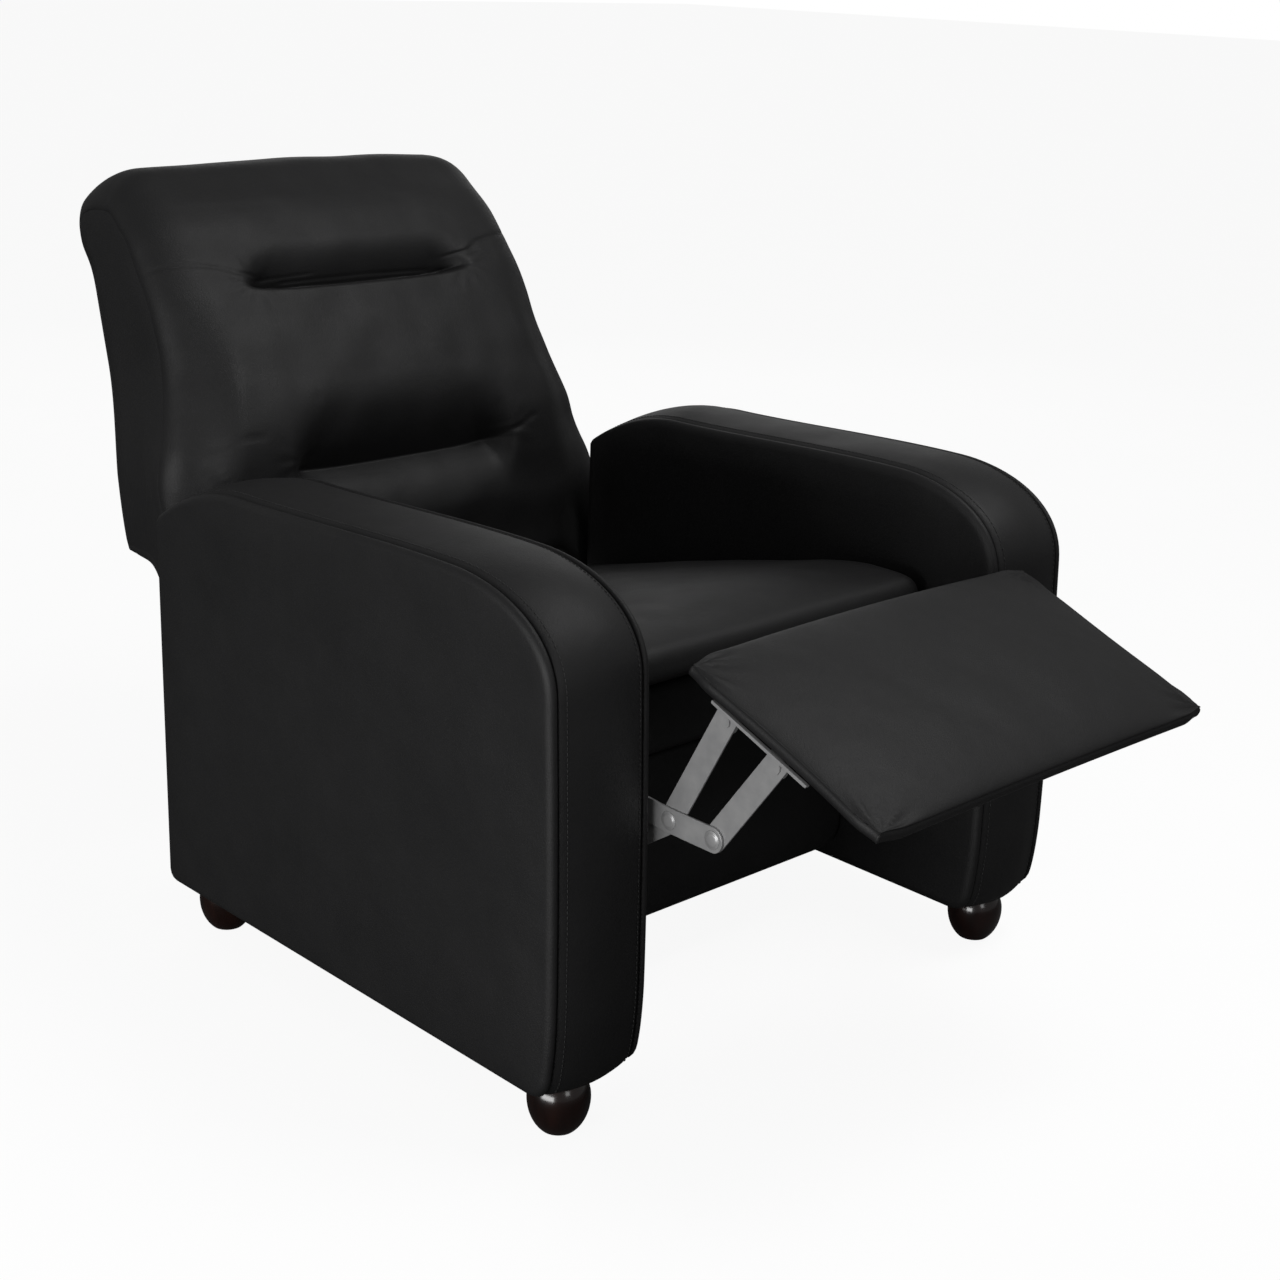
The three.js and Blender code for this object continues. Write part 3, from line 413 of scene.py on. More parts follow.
# The share of the way out to the rim at each inner ring, and the ring's share of the swell.
PANEL_SWELL = ((0.985, 0.25), (0.96, 0.55), (0.92, 0.85), (0.86, 1.0), (0.78, 1.0), (0.68, 0.9))
PANEL_SWELL += ((0.57, 0.8), (0.46, 0.7), (0.35, 0.6), (0.24, 0.55), (0.13, 0.5), (0.03, 0.5))
STITCH_X = (("outer", 357.5), ("inner", 269.5))
STITCH_LIFT, STITCH_PITCH, STITCH_LENGTH, STITCH_RADIUS = 1.9, 5.2, 3.9, 0.42
# Along, lift and size at a stitch's sections, as shares of its length and radius.
STITCH = ((-0.5, -0.9, 0.45), (-0.36, 0.15, 1.0), (0.0, 0.55, 1.0), (0.36, 0.15, 1.0), (0.5, -0.9, 0.45))
FOOT_X, FOOT_Y = 322.0, (("front", -607.0), ("rear", -38.0))
BALL_RADIUS, BALL_MIDDLE, BALL_LOWER, BALL_UPPER = 31.0, 36.0, 41.1, 32.6
FOOT_BASE = ((11.5, 0.0), (13.6, 0.25))
FOOT_COLLAR = ((23.2, 57.4), (23.6, 58.4), (23.2, 59.6), (6.0, 59.65))


def arm_outline():
    """The arm's side outline from the rear foot over the top to the front foot."""
    parts = [bezier(points, steps) for points, steps in ARM_CURVES]
    return resample(np.vstack([*parts, [(ARM_TOE, ARM_FOOT)]]), ARM_STEP)


OUTLINE = arm_outline()
OUTWARD = normals_2d(OUTLINE)


def arm_band(side, sign):
    """The padded strip over the front, top and rear, with its edges sewn down at both seams."""
    high, low = ARM_OUTER - PANEL - BAND_CLEAR, ARM_INNER + PANEL + BAND_CLEAR
    half, middle = (high - low) / 2, (high + low) / 2
    steps = np.array([*BAND_STEPS, half])
    across = np.concatenate([-(half - steps), (half - steps[:-1])[::-1]])
    from_edge = half - np.abs(across)
    roll = np.sqrt(np.clip(1 - (1 - np.clip(from_edge / BAND_ROLL_WIDTH, 0, 1)) ** 2, 0, 1))
    height = -BAND_DIP + BAND_ROLL * roll + BAND_DOME * (1 - (1 - from_edge / half) ** 2.0)
    top_x = sign * (middle + across)
    under_x = sign * (middle + across[::-1][1:-1:4])
    rows = []
    for k, (point, normal) in enumerate(zip(OUTLINE, OUTWARD)):
        along = k / (len(OUTLINE) - 1)
        fade = smooth(0.0, 0.03, along) * smooth(1.0, 0.985, along)
        top = point + normal * height[:, None] * (0.35 + 0.65 * fade)
        under = np.tile(point - normal * BAND_DEPTH, (len(under_x), 1))
        rows.append(np.vstack([at_x(top_x, top), at_x(under_x, under)]))
    rows = np.array(rows)
    rows[..., 2] = np.maximum(rows[..., 2], ARM_FOOT)
    wave = noise_a(rows, 210.0)[..., None]
    crown = np.zeros(rows.shape[1])
    crown[: len(across)] = smooth(6.0, 30.0, from_edge)
    push = np.zeros_like(rows)
    push[..., 1:] = OUTWARD[:, None]
    rows += push * wave * crown[None, :, None] * 0.9
    obj = ring_mesh(f"{side}_arm_band_cover", rows, leatherette)
    finish_piece(obj, "chair_base", [f"{side}_arm_band"])


def panel_outline():
    """The panel's closed outline: the arm's own with its rear foot corner rounded."""
    centre = (-PANEL_CORNER, ARM_FOOT + PANEL_CORNER)
    rear = arc(centre, (PANEL_CORNER, PANEL_CORNER), -90, 0, 10)
    is_low = OUTLINE[:, 1] <= ARM_FOOT + PANEL_CORNER + 3
    front_foot = OUTLINE[is_low & (OUTLINE[:, 0] < PANEL_CENTRE[0])]
    closed = np.vstack([rear, OUTLINE[~is_low], front_foot, [(PANEL_TOE, ARM_FOOT)]])
    return resample(closed, ARM_STEP, closed=True)


def arm_panel(side, sign, name, face, seat, edge, puff, seed):
    """A padded side panel whose rounded border dips into the seam."""
    closed = panel_outline()
    normal = normals_2d(closed, closed=True)
    border = [(0.0, 3.6), (0.10, 1.5), (0.22, 0.4), (0.34, 0.0)]
    for turn in turns(12, 90, 9):
        border.append((0.34 + 0.66 * math.sin(turn), edge * (1 - math.cos(turn))))
    rings = [at_x(seat, closed - normal * PANEL_HEM)]
    for share, inward in border:
        rings.append(at_x(seat + (face - seat) * share, closed - normal * inward))
    rim = rings[-1][:, 1:]
    for share, _ in PANEL_SWELL:
        rings.append(at_x(face, PANEL_CENTRE + (rim - PANEL_CENTRE) * share))
    rings = np.array(rings)
    wave = noise_b(rings + seed, 190.0) * 0.7 + noise_c(rings - seed, 74.0) * 0.22
    swell = np.concatenate([np.zeros(len(border) + 1), [part for _, part in PANEL_SWELL]])
    away = 1.0 if face > seat else -1.0
    rings[..., 0] += away * swell[:, None] * (wave + puff)
    rings[..., 0] *= sign
    rings[..., 2] = np.maximum(rings[..., 2], ARM_FOOT)
    obj = ring_mesh(f"{side}_{name}_cover", rings, leatherette)
    finish_piece(obj, "chair_base", [f"{side}_{name}"])


def stitch_row(name, x):
    """Short thread stitches along the arm's outline at x, each a bent six-sided rod."""
    line = (OUTLINE + OUTWARD * STITCH_LIFT)[OUTLINE[:, 1] > ARM_FOOT + 6]
    path = resample(at_x(x, line), STITCH_PITCH)
    points, faces = [], []
    for a, b in zip(path, path[1:]):
        way, middle = unit(b - a), (a + b) / 2
        nearest = np.argmin(np.linalg.norm(OUTLINE - middle[1:], axis=1))
        up = np.array([0.0, *OUTWARD[nearest]])
        up = unit(up - way * np.dot(up, way))
        cross = np.cross(way, up)
        faces += tube_faces(len(STITCH), 6, start=len(points))
        for along, lift, size in STITCH:
            centre = middle + way * along * STITCH_LENGTH + up * lift * STITCH_RADIUS
            for angle in [k * math.pi / 3 for k in range(6)]:
                offset = up * math.sin(angle) + cross * math.cos(angle)
                points.append(centre + offset * STITCH_RADIUS * size)
    obj = mesh_object(name, points, faces, thread)
    finish_piece(obj, "chair_base")


def lathe(name, profile, centre, material, segments=56, axis="z"):
    """Turns (radius, height) about an axis through centre."""
    profile = np.asarray(profile, dtype=float)
    angles = np.linspace(0, 2 * np.pi, segments, endpoint=False)
    rings = []
    for radius, height in profile:
        flat = [radius * np.cos(angles), radius * np.sin(angles), np.full(segments, height)]
        ring = np.stack(flat, axis=-1)
        if axis == "x":
            ring = ring[:, [2, 0, 1]]
        rings.append(ring + np.asarray(centre, dtype=float))
    return ring_mesh(name, rings, material)


def foot(side, end, x, y):
    """A turned ball foot with a collar under the arm."""
    lower = arc((0, BALL_MIDDLE), (BALL_RADIUS, BALL_LOWER), -61.07, 0, 14)[1:]
    upper = arc((0, BALL_MIDDLE), (BALL_RADIUS, BALL_UPPER), 0, 39.3, 8)[1:]
    ball = [(radius, max(height, 0.6)) for radius, height in lower]
    profile = [*FOOT_BASE, *ball, *upper, *FOOT_COLLAR]
    obj = lathe(f"{side}_{end}_turned_foot", profile, (x, y, 0), turned_wood)
    finish_piece(obj, "chair_base", [f"{side}_{end}_foot"])


for side, sign in SIDES:
    arm_band(side, sign)
    arm_panel(side, sign, "arm_outer_panel", ARM_OUTER, ARM_OUTER - PANEL + 0.1, 9.0, 1.2, 40.0)
    arm_panel(side, sign, "arm_inner_panel", ARM_INNER, ARM_INNER + PANEL - 0.1, 11.0, 0.6, 90.0)
    for label, x in STITCH_X:
        stitch_row(f"{side}_arm_{label}_stitches", sign * x)
    for end, y in FOOT_Y:
        foot(side, end, sign * FOOT_X, y)


# Panels made of padded board

BOARD_STEP = 9.0
BOARD_SHARES = (0.97, 0.93, 0.88, 0.81, 0.73, 0.63, 0.52, 0.40, 0.27, 0.13, 0.04)
FRONT_PANEL_Y, REAR_PANEL_Y = -432.0, -28.0


def rounded_outline(half, low, high, low_corner, high_corner):
    """A closed outline in (x, z) that runs anticlockwise seen from the front."""
    corners = (
        (half - low_corner, low + low_corner, low_corner),
        (half - high_corner, high - high_corner, high_corner),
        (-half + high_corner, high - high_corner, high_corner),
        (-half + low_corner, low + low_corner, low_corner),
    )
    pieces = []
    for k, (x, z, radius) in enumerate(corners):
        pieces.append(arc((x, z), (radius, radius), 90 * k - 90, 90 * k, 12))
    return resample(np.vstack(pieces), BOARD_STEP, closed=True)


def facing_rear(y):
    """A function that turns a board to face +y, with its inner face at y."""
    return lambda points: points * np.array([-1.0, -1.0, 1.0]) + np.array([0.0, y, 0.0])


def padded_board(name, node, body, outline, to_chair, thickness, crown, edge, seed):
    """A board with padding on the side that faces -y; y = 0 is its rear face."""
    normal = normals_2d(outline, closed=True)
    centre = (outline.max(axis=0) + outline.min(axis=0)) / 2
    levels = [(0.0, 5.0), (0.0, 0.6), (1.2, 0.0), (thickness - edge, 0.0)]
    for turn in [math.radians(15 * k) for k in range(1, 7)]:
        levels.append((thickness - edge + edge * math.sin(turn), edge * 1.15 * (1 - math.cos(turn))))
    flats = [(outline - normal * inward, depth) for depth, inward in levels]
    rim = flats[-1][0]
    for share in BOARD_SHARES:
        flats.append((centre + (rim - centre) * share, thickness + crown * (1 - share**4)))
    rings = np.array([np.insert(flat, 1, -depth, axis=1) for flat, depth in flats])
    wave = noise_b(rings + seed, 170.0) * 0.8 + noise_c(rings + seed, 66.0) * 0.25
    rings[len(levels) :, :, 1] -= wave[len(levels) :]
    obj = ring_mesh(name, to_chair(rings), leatherette)
    finish_piece(obj, body, [node])


padded_board(
    "front_panel_cover", "front_panel", "chair_base",
    rounded_outline(half=250.6, low=86, high=278, low_corner=28, high_corner=7),
    lambda points: points + np.array([0.0, FRONT_PANEL_Y, 0.0]),
    thickness=28.0, crown=4.6, edge=9.0, seed=12.0,
)
padded_board(
    "rear_panel_cover", "rear_panel", "chair_base",
    rounded_outline(half=251.5, low=80, high=198, low_corner=6, high_corner=6),
    facing_rear(REAR_PANEL_Y),
    thickness=19.0, crown=1.0, edge=5.0, seed=33.0,
)


# Seat

SEAT_HALF, SEAT_LENGTH, SEAT_DEPTH = 240.0, 545.0, 75.0
SEAT_ROLL, SEAT_CROWN = 24.0, 16.0
# Points (y, z) of the side outline: the front roll from under it to the top, then the rear edge.
SEAT_FRONT = ((88.75, -SEAT_DEPTH), (38.5, -58), (-7, -55.1), (-14, -39.4))
SEAT_FRONT += ((-4.2, -19.1), (35, -7), (70, -1.7), (112, 0))
SEAT_REAR = ((515, 0), (535.6, -7.5), (SEAT_LENGTH, -30))
SEAT_FOOT = ((SEAT_LENGTH, -56), (526, -SEAT_DEPTH))
RAIL_LOW, RAIL_HIGH = np.array([-238.0, 59.0, -140.0]), np.array([238.0, 97.0, -68.5])
RAIL_RADIUS, RAIL_CUTS = 7.0, (70, 6, 12)

seat_frame = tilted((-540.6, 457.5), -14)


def seat_outline():
    """The cushion's side outline in the seat's frame: under the roll, over the top and down behind."""
    top = np.linspace(SEAT_FRONT[-1], SEAT_REAR[0], 60)[1:-1]
    under = np.linspace(SEAT_FOOT[-1], SEAT_FRONT[0], 50)[1:-1]
    return np.vstack([spline(SEAT_FRONT, 60), top, spline(SEAT_REAR, 14), SEAT_FOOT, under])


def seat_cushion():
    """The seat's cover: a crowned top, a roll over the front and rolled side edges."""
    outline = seat_outline()[::-1]
    normal = normals_2d(outline, closed=True)
    flat_half = SEAT_HALF - SEAT_ROLL
    edge = flat_half + SEAT_ROLL * np.sin(turns(0, 90, 10))
    right = np.concatenate([np.linspace(0, flat_half, 26)[:-1], edge])
    rows = []
    for x in np.concatenate([-right[:0:-1], right]):
        into = max(0.0, abs(x) - flat_half) / SEAT_ROLL
        draw = SEAT_ROLL * (1 - math.sqrt(max(0.0, 1 - into * into))) * 0.8
        ring = outline - normal * draw
        across = 1 - (x / SEAT_HALF) ** 2
        along = np.sin(np.pi * np.clip(ring[:, 0] / SEAT_LENGTH, 0, 1)) ** 0.6
        ring[:, 1] += SEAT_CROWN * across * along * smooth(-35, 0, ring[:, 1])
        rows.append(at_x(x, ring))
    rows = np.array(rows)
    folds = noise_a(rows * np.array([1.0, 0.5, 1.0]), 150.0) + noise_c(rows, 60.0) * 0.35
    rows[..., 2] += folds * smooth(-30, 0, rows[..., 2])
    obj = ring_mesh("seat_cushion_cover", seat_frame(rows), leatherette)
    finish_piece(obj, "seat", ["seat_cushion"])


def seat_front_rail():
    """The upholstered rail under the seat's front: a box with round edges on a fine grid."""
    points, faces, index = [], [], {}

    def vertex(key):
        if key not in index:
            index[key] = len(points)
            raw = RAIL_LOW + (RAIL_HIGH - RAIL_LOW) * (np.array(key) / RAIL_CUTS)
            core = np.clip(raw, RAIL_LOW + RAIL_RADIUS, RAIL_HIGH - RAIL_RADIUS)
            points.append(core + unit(raw - core) * RAIL_RADIUS)
        return index[key]

    for axis in range(3):
        a, b = [k for k in range(3) if k != axis]
        for end, i, j in product((0, RAIL_CUTS[axis]), range(RAIL_CUTS[a]), range(RAIL_CUTS[b])):
            corners = []
            for di, dj in ((0, 0), (1, 0), (1, 1), (0, 1)):
                key = [0, 0, 0]
                key[axis], key[a], key[b] = end, i + di, j + dj
                corners.append(vertex(tuple(key)))
            faces.append(corners)
    points = np.array(points)
    points += unit(points - (RAIL_LOW + RAIL_HIGH) / 2) * (noise_b(points, 120.0) * 0.5)[:, None]
    obj = mesh_object("seat_front_rail_cover", seat_frame(points), faces, leatherette)
    finish_piece(obj, "seat", ["seat_front_rail"])


seat_cushion()
seat_front_rail()


# Back

BACK_HEIGHT, BACK_DEPTH, BACK_CROWN = 450.0, 178.0, 16.0
# Half width at the top, what the taper adds at the foot, and what the wings behind the arms add.
BACK_TOP_HALF, BACK_SPREAD, BACK_WING = 261.0, 18.0, 35.0
BACK_REAR = -2.5  # y of the rear face
# Shares of the height and depth up the front, from the foot to the lip behind the top.
BACK_SHARES = (
    ((0.04, 0.09), (0.0, 0.34), (-0.09, 0.5), (-0.17, 0.63), (-0.19, 0.745), (-0.15, 0.8))
    + ((-0.06, 0.83), (0.02, 0.858), (0.11, 0.92), (0.25, 1.0), (0.4, 0.972), (0.613, 0.856))
    + ((0.793, 0.708), (0.881, 0.597), (0.963, 0.48), (0.993, 0.35), (1.0, 0.22), (0.993, 0.08))
    + ((0.977, -0.03), (0.95, -0.073), (0.915, -0.08))
)
# Height, half width, depth, and how far the slopes above and below reach.
TUCKS = ((282.0, 150.0, 33.0, 58.0, 7.0), (66.0, 150.0, 40.0, 98.0, 75.0))
# Paths (x, height) of the thin seams and creases, with their depth and width.
CREASES = (
    (((140, 302), (165, 305), (178, 309), (192, 317), (225, 323), (268, 330)), 2.4, 1.7),
    (((-140, 298), (-170, 303), (-192, 312), (-222, 318), (-268, 320)), 1.7, 1.7),
    (((-262, 106), (-238, 112), (-205, 110)), 1.5, 3.0),
    (((-262, 84), (-250, 62)), 2.4, 3.0),
    (((160, 300), (186, 306)), 1.6, 2.4),
    (((-100, 290), (20, 291), (120, 289)), 1.3, 1.4),
    (((-150, 294), (-60, 297)), 1.1, 1.4),
    (((-124, 96), (-121, 150)), 1.2, 2.0),
    (((-112, 98), (-113, 146)), 1.0, 2.0),
    (((150, 84), (146, 112)), 1.8, 2.4),
    (((164, 74), (196, 88)), 2.2, 3.4),
)
# The fine seam round a side: how far in from the roll, and how deep.
SIDE_SEAM = ((2.5, 0.0), (4.4, 0.1), (5.4, 0.3), (6.4, 0.1), (8.0, -0.2))
BACK_RECESS, FOOT_DROP, CORNER_DROP, CORNER_REACH = 21.0, 44.0, 25.0, 54.0
MIRROR = np.array([-1.0, 1.0, 1.0])
COVER_HALF, COVER_SETBACK, COVER_Y = 255.0, 6.0, -12.0

back_frame = tilted((186, 370), -20)


def back_half(y, up):
    """Half the back's width: it tapers to the top and has wings behind the arms, wider in front."""
    share = np.clip((BACK_HEIGHT - up) / (BACK_HEIGHT - 110.0), 0, 1)
    wing_share = 1 - 0.4 * smooth(-BACK_DEPTH * 0.75, -BACK_DEPTH * 0.1, y)
    wing = BACK_WING * wing_share * (1 - smooth(20, 240, up))
    return BACK_TOP_HALF + BACK_SPREAD * share + wing


def back_outline():
    """The back's closed side outline: up the front, over the top and down behind."""
    line = spline([(-deep * BACK_DEPTH, up * BACK_HEIGHT) for up, deep in BACK_SHARES], 400)
    length = running(np.linalg.norm(np.diff(line, axis=0), axis=1))
    # Points lie closer together at the folds of the tucks.
    near = sum(np.exp(-(((line[:, 1] - at) / wide) ** 2)) for at, wide in ((283, 9), (306, 16), (67, 16)))
    density = 1 + 1.6 * near[1:] * (line[1:, 0] < -60)
    weight = running(np.diff(length) * density)
    front = spread(line, weight, int(weight[-1] / 4.2))
    lip = bezier([(14.2, 411.7), (13.2, 384), (BACK_REAR, 372), (BACK_REAR, 318)], 20)[1:]
    behind = [(BACK_REAR, z) for z in np.linspace(318, 32, 46)]
    return np.vstack([front, lip, behind, [(-5.0, 21.5)]])


def tuck_depth(x, up):
    """How deep the tucks are: the upper has a sharp lip below it, the lower slopes both ways."""
    total = np.zeros(np.broadcast(x, up).shape)
    for line, half, depth, above, below in TUCKS:
        rise = np.clip(up - line, 0, above)
        ends = 1 - smooth(half - 14 - 0.75 * rise, half + 18 - 0.05 * rise, np.abs(x))
        lift = 5.0 * (np.abs(x) / half) ** 4
        over = 1 - np.clip((up - line - lift) / above, 0, 1)
        under = 1 - np.clip((line + lift - up) / below, 0, 1)
        total = np.maximum(total, depth * ends * np.where(up > line + lift, over**1.8, under**2))
    return total


def crease_depth(x, up):
    """The thin seams and creases, and the puckers round the ends of the tucks."""
    total = np.zeros(np.broadcast(x, up).shape)
    here = np.stack(np.broadcast_arrays(x, up), axis=-1)
    for path, depth, width in CREASES:
        path = np.array(path, dtype=float)
        nearest = np.full(total.shape, 1e9)
        for a, b in zip(path, path[1:]):
            share = np.clip(((here - a) @ (b - a)) / ((b - a) @ (b - a)), 0, 1)
            nearest = np.minimum(nearest, np.linalg.norm(here - a - share[..., None] * (b - a), axis=-1))
        total += depth * np.exp(-((nearest / width) ** 2))
    for line, half, _, above, _ in TUCKS:
        for end in (-1, 1):
            dx, dy = x - end * (half + 4), up - line - 0.12 * above
            turn = np.arctan2(dy, dx * end)
            total += 0.55 * np.cos(turn * 9 + end) * np.exp(-(((np.hypot(dx, dy) - 22) / 14) ** 2))
    return total


def fill_outline(outline, pitch, clear):
    """Triangles for a closed flat outline: its own points first, then an inner lattice."""
    outline = np.asarray(outline, dtype=float)
    low, high = outline.min(axis=0), outline.max(axis=0)
    axes = [np.arange(low[k] + pitch / 2, high[k], pitch) for k in (0, 1)]
    inner = np.stack(np.meshgrid(*axes, indexing="ij"), axis=-1).reshape(-1, 2)
    away = np.min(np.linalg.norm(inner[:, None] - outline[None], axis=2), axis=1)
    # A point is inside when a ray from it along +y crosses the outline an odd number of times.
    y, z = inner.T[:, :, None]
    (y_start, z_start), (y_end, z_end) = outline.T, np.roll(outline, -1, axis=0).T
    span = np.where(np.abs(z_end - z_start) < 1e-9, 1e-9, z_end - z_start)
    hit = y_start + (z - z_start) * ((y_end - y_start) / span)
    crosses = ((z_start > z) != (z_end > z)) & (hit > y)
    inside = np.sum(crosses, axis=1) % 2 == 1
    points = np.vstack([outline, inner[inside & (away > clear)]])
    edges = [(k, (k + 1) % len(outline)) for k in range(len(outline))]
    result = delaunay_2d_cdt([tuple(p) for p in points], edges, [], 1, 1e-5)
    source = [first[0] for first in result[3]]
    return points, [tuple(source[k] for k in face) for face in result[2]]


def inset_limit(outline, reach=2):
    """How far a closed outline can be drawn in at each point before its round corners fold."""
    before = outline - np.roll(outline, reach, axis=0)
    after = np.roll(outline, -reach, axis=0) - outline
    turn = before[:, 0] * after[:, 1] - before[:, 1] * after[:, 0]
    turn = np.arctan2(turn, np.sum(before * after, axis=1))
    turn *= np.sign(np.sum(turn))
    length = (np.linalg.norm(before, axis=1) + np.linalg.norm(after, axis=1)) / 2
    limit = np.minimum(0.8 * length / np.maximum(turn, 0.02) - 5.0, 45.0)
    limit = np.min([np.roll(limit, k) for k in range(-2 * reach, 2 * reach + 1)], axis=0)
    return np.mean([np.roll(limit, k) for k in range(-reach, reach + 1)], axis=0)


def back_shells(outline):
    """Rings from the back's middle out over the rolled edge to the seam of the right side."""
    normal = outward_normals(outline)
    y, up = outline.T
    # The roll is wide over the front and top, and tight behind and round the foot.
    crest = smooth(330, 400, up)
    fade = 1 - smooth(0, 1, (y + 78 - 10 * crest) / (56 + 26 * crest))
    roll = 7 + 25 * fade * smooth(-40, 90, up)
    wide, deep = roll * 1.65, roll * (0.85 - 0.25 * crest)
    deep = np.minimum(deep, np.maximum(inset_limit(outline), 1.5))
    half = back_half(y, up)
    rings = [(share * (half - wide), np.zeros_like(y)) for share in np.linspace(0, 1, 40)[:-1]]
    for turn in turns(0, 90, 12):
        rings.append((half - wide * (1 - math.sin(turn)), deep * (1 - math.cos(turn))))
    for inward, down in SIDE_SEAM:
        rings.append((half - down, deep + inward * np.minimum(1, deep / 14)))
    return np.array([at_x(x, outline - normal * inward[:, None]) for x, inward in rings])


def back_mesh():
    """The back's points and faces before its shaping: shells, their mirror and two flat sides."""
    outline = back_outline()
    shells = back_shells(outline)
    side, side_faces = fill_outline(shells[-1][:, 1:], 11.0, 6.0)
    flat = side[len(outline) :]
    inner = at_x(back_half(*flat.T) + 0.4, flat)
    grid = np.vstack([shells[:0:-1] * MIRROR, shells])
    rows, columns = grid.shape[:2]
    points = np.vstack([grid.reshape(-1, 3), inner * MIRROR, inner])
    faces = grid_faces(rows, columns, close_columns=True)
    last_ring, left, right = (rows - 1) * columns, rows * columns, rows * columns + len(inner)
    for face in side_faces:
        faces.append(tuple(k if k < columns else left + k - columns for k in face))
        faces.append(tuple(last_ring + k if k < columns else right + k - columns for k in face))
    return points, faces


def shape_back(points):
    """Gives the back its crown, tucks, recess at the arms, dropped corners and waves."""
    x, high = points[:, 0], points[:, 2]
    share = np.abs(x) / back_half(points[:, 1], high)
    front = 1 - smooth(-BACK_DEPTH * 0.62, -BACK_DEPTH * 0.4, points[:, 1])
    on_side = smooth(0.965, 0.995, share)
    crown = BACK_CROWN * (1 - np.minimum(share, 1) ** 4)
    crown *= (1 - smooth(392, 450, high)) * smooth(-70, 0, high)
    dent = tuck_depth(x, high) + crease_depth(x, high) * (1 - on_side)
    wave = (noise_a(points, 190.0) * 1.1 + noise_c(points, 74.0) * 0.45) * (1 - on_side)
    recess = BACK_RECESS * smooth(0.74, 0.92, share) * (1 - smooth(120, 300, high)) * smooth(0, 90, high)
    points[:, 1] -= front * (crown - dent + wave - recess)
    points[:, 2] -= FOOT_DROP * smooth(0.76, 0.88, share) * (1 - smooth(-50, 40, high))
    from_corner = np.abs(x) - back_half(points[:, 1], high) + CORNER_REACH
    edge = np.clip(from_corner / CORNER_REACH, 0, 1)
    points[:, 2] -= CORNER_DROP * (1 - np.sqrt(1 - edge**2)) * smooth(320, 435, high)
    top = smooth(395, 440, high)
    points[:, 2] += top * (7.0 * (1 - np.minimum(share, 1) ** 2.2) + noise_b(points, 160.0) * 0.7)
    points[:, 0] += noise_b(points, 170.0) * 0.9 * on_side * np.sign(x)


def back_cushion():
    """The back's cover: crowned and tucked in front, with rolled edges and flat sides."""
    points, faces = back_mesh()
    shape_back(points)
    obj = mesh_object("back_cushion_cover", back_frame(points), faces, leatherette)
    finish_piece(obj, "back", ["back_cushion"])


back_cushion()

cover_outline = rounded_outline(half=COVER_HALF, low=18, high=384, low_corner=12, high_corner=8)
cover_outline[:, 0] *= (back_half(0.0, cover_outline[:, 1]) - COVER_SETBACK) / COVER_HALF
padded_board(
    "back_rear_cover_panel", "back_rear_cover", "back",
    cover_outline,
    lambda points: back_frame(facing_rear(COVER_Y)(points)),
    thickness=11.0, crown=1.2, edge=5.0, seed=57.0,
)


# Footrest

REST_HALF, REST_LENGTH, REST_EDGE = 248.0, 250.0, 14.0
REST_CORNER, REST_CROWN, REST_RIM = 4.5, 19.0, -1.0
REST_WAIST, REST_BOW, REST_HOLLOW = 5.0, 7.0, 2.0  # how far the sides, rear and front curve
# Outward and height of the rings down the pad's side.
REST_SIDE = ((-1.3, -1.6), (-0.4, -2.4), (0.9, -3.6), (1.6, -6.0))
REST_SIDE += ((1.6, -9.0), (0.8, -11.8), (-1.2, -13.6), (-6.0, -13.9))

footrest_frame = tilted((-680, 477.5), 21.1)


def rest_shares():
    """Shares of the half width and of the length for the points of the pad's top."""
    right = 0.93 + 0.07 * np.sin(turns(0, 90, 9))
    right = np.concatenate([np.linspace(0, 0.93, 34)[:-1], right])
    edge_share = 0.06
    edge = edge_share * (1 - np.sin(turns(90, 0, 8)))
    along = np.concatenate([edge, np.linspace(edge_share, 1 - edge_share, 34)[1:-1], 1 - edge[::-1]])
    return np.meshgrid(np.concatenate([-right[:0:-1], right]), along, indexing="ij")


def rest_top():
    """The pad's crowned top, with puckers at its four corners."""
    x_share, y_share = rest_shares()
    bend = 1 - x_share**2
    x = x_share * (REST_HALF - REST_WAIST * np.sin(np.pi * y_share))
    y = -y_share * REST_LENGTH + REST_BOW * bend * (1 - y_share) + REST_HOLLOW * bend * y_share
    # The four corners are rounded in plan.
    across, along = np.abs(x_share), np.abs(2 * y_share - 1)
    corner = smooth(0.86, 1.0, across) * smooth(0.74, 1.0, along)
    x -= np.sign(x_share) * corner * REST_CORNER
    y -= np.sign(1 - 2 * y_share) * corner * REST_CORNER
    rise = np.sin(np.pi * y_share) ** 0.55 * (1 - x_share**4) ** 0.8
    z = REST_RIM + REST_CROWN * rise
    for x_end, y_end in ((-1, 0), (-1, 1), (1, 0), (1, 1)):
        dx = (x_share - x_end) * REST_HALF
        dy = (y_share - y_end) * REST_LENGTH
        angle = np.arctan2(np.abs(dy), np.abs(dx))
        z += np.cos(angle * 14.0) * 1.6 * np.exp(-((np.hypot(dx, dy) - 26) / 24.0) ** 2)
    top = np.stack([x, y, z], axis=-1)
    top[..., 2] += (noise_a(top, 130.0) * 0.7 + noise_c(top, 50.0) * 0.25) * rise
    return top


